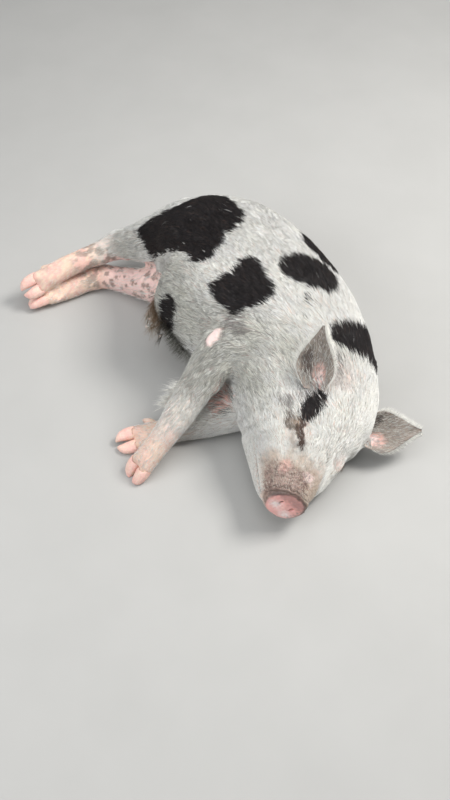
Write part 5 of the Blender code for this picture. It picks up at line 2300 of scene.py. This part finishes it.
@dataclass(frozen=True)
class Lamp:
    """One soft square light aimed at the animal."""

    name: str
    place: Triple
    size: float
    power: float
    colour: Triple
    target: Triple = (0.0, -0.05, 0.1)

    def hang(self) -> None:
        """Put the light into the scene."""
        data = bpy.data.lights.new(self.name, "AREA")
        data.shape = "SQUARE"
        data.size = self.size
        data.energy = self.power
        data.color = self.colour
        light = link(self.name, data)
        light.location = self.place
        aim = Vector(self.target) - Vector(self.place)
        light.rotation_euler = aim.to_track_quat("-Z", "Y").to_euler()


@dataclass
class Studio:
    """Floor, lights and the camera at the photograph's angle."""

    camera_place: Triple = (-0.0563, -1.0731, 1.34)
    camera_tilt: float = math.radians(35.0)
    lens: float = 38.61
    sensor: float = 36.0
    sky: Triple = (0.93, 0.94, 0.95)
    sky_strength: float = 0.36
    floor_size: float = 5.0
    floor_gap: float = 0.0002
    lamps: tuple[Lamp, ...] = (
        Lamp("key_light", (1.25, 0.2, 1.95), 0.8, 52.0, (1.0, 0.975, 0.94)),
        Lamp("fill_light", (-1.7, -1.2, 1.6), 1.8, 32.0, (0.98, 0.99, 1.0)),
        Lamp("top_light", (-0.1, -0.2, 2.4), 1.6, 17.0, (1.0, 1.0, 1.0)),
    )

    def build(self) -> None:
        """Set up everything round the animal."""
        self._floor()
        for lamp in self.lamps:
            lamp.hang()
        world = bpy.data.worlds.new("studio")
        world.use_nodes = True
        back = world.node_tree.nodes["Background"]
        back.inputs["Color"].default_value = (*self.sky, 1.0)
        back.inputs["Strength"].default_value = self.sky_strength
        bpy.context.scene.world = world
        self._camera()
        # Plain tones, so that white hair stays white beside the black patches.
        bpy.context.scene.view_settings.view_transform = "Standard"

    def _floor(self) -> None:
        """Lay the floor just under the animal."""
        bm = bmesh.new()
        bmesh.ops.create_grid(bm, x_segments=8, y_segments=8, size=self.floor_size)
        floor = shape("floor", bm)
        floor.location.z = -self.floor_gap
        floor.data.materials.append(FloorFinish().make())

    def _camera(self) -> None:
        """Stand the camera where the photograph was taken."""
        data = bpy.data.cameras.new("camera")
        data.lens = self.lens
        data.sensor_width = self.sensor
        data.sensor_fit = "AUTO"
        data.clip_start = 0.01
        camera = link("camera", data)
        camera.location = self.camera_place
        camera.rotation_euler = (self.camera_tilt, 0.0, 0.0)
        bpy.context.scene.camera = camera


class Pig:
    """Puts the skin, coat, claws and eyes of the animal together."""

    hide_slot = "hide"
    horn_slot = "horn"

    def dress(self, obj: Object, finish: Material) -> None:
        """Give a piece its finish and the body it rides on."""
        obj.data.materials.clear()
        obj.data.materials.append(finish)
        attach(obj, ROOT_BODY)

    def build(self) -> None:
        """Build every piece."""
        skin = Skin()
        body = skin.build()
        self.dress(body, SkinFinish().make())
        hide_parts(*skin.flesh, "ear_right", "ear_left")
        LOG.info("skin: %d faces", len(body.data.polygons))
        bristle = BristleFinish().make()
        for piece in Coat(body).build():
            self.dress(piece, bristle)
            LOG.info("%s: %d triangles", piece.name, len(piece.data.polygons))
        horn = HornFinish().make()
        for node in sorted(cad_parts):
            if node.startswith("claw_"):
                claw = Horn(node + "_horn", node).build()
                self.dress(claw, horn)
                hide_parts(node)
                LOG.info("%s: %d faces", claw.name, len(claw.data.polygons))
        wet = EyeFinish().make()
        for eye in EYES:
            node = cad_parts[eye.node]
            node.data.materials.clear()
            node.data.materials.append(wet)


def main() -> None:
    """Build the animal and the studio round it."""
    logging.basicConfig(level=logging.INFO, format="%(message)s")
    Pig().build()
    Studio().build()


if __name__ == "__main__":
    main()
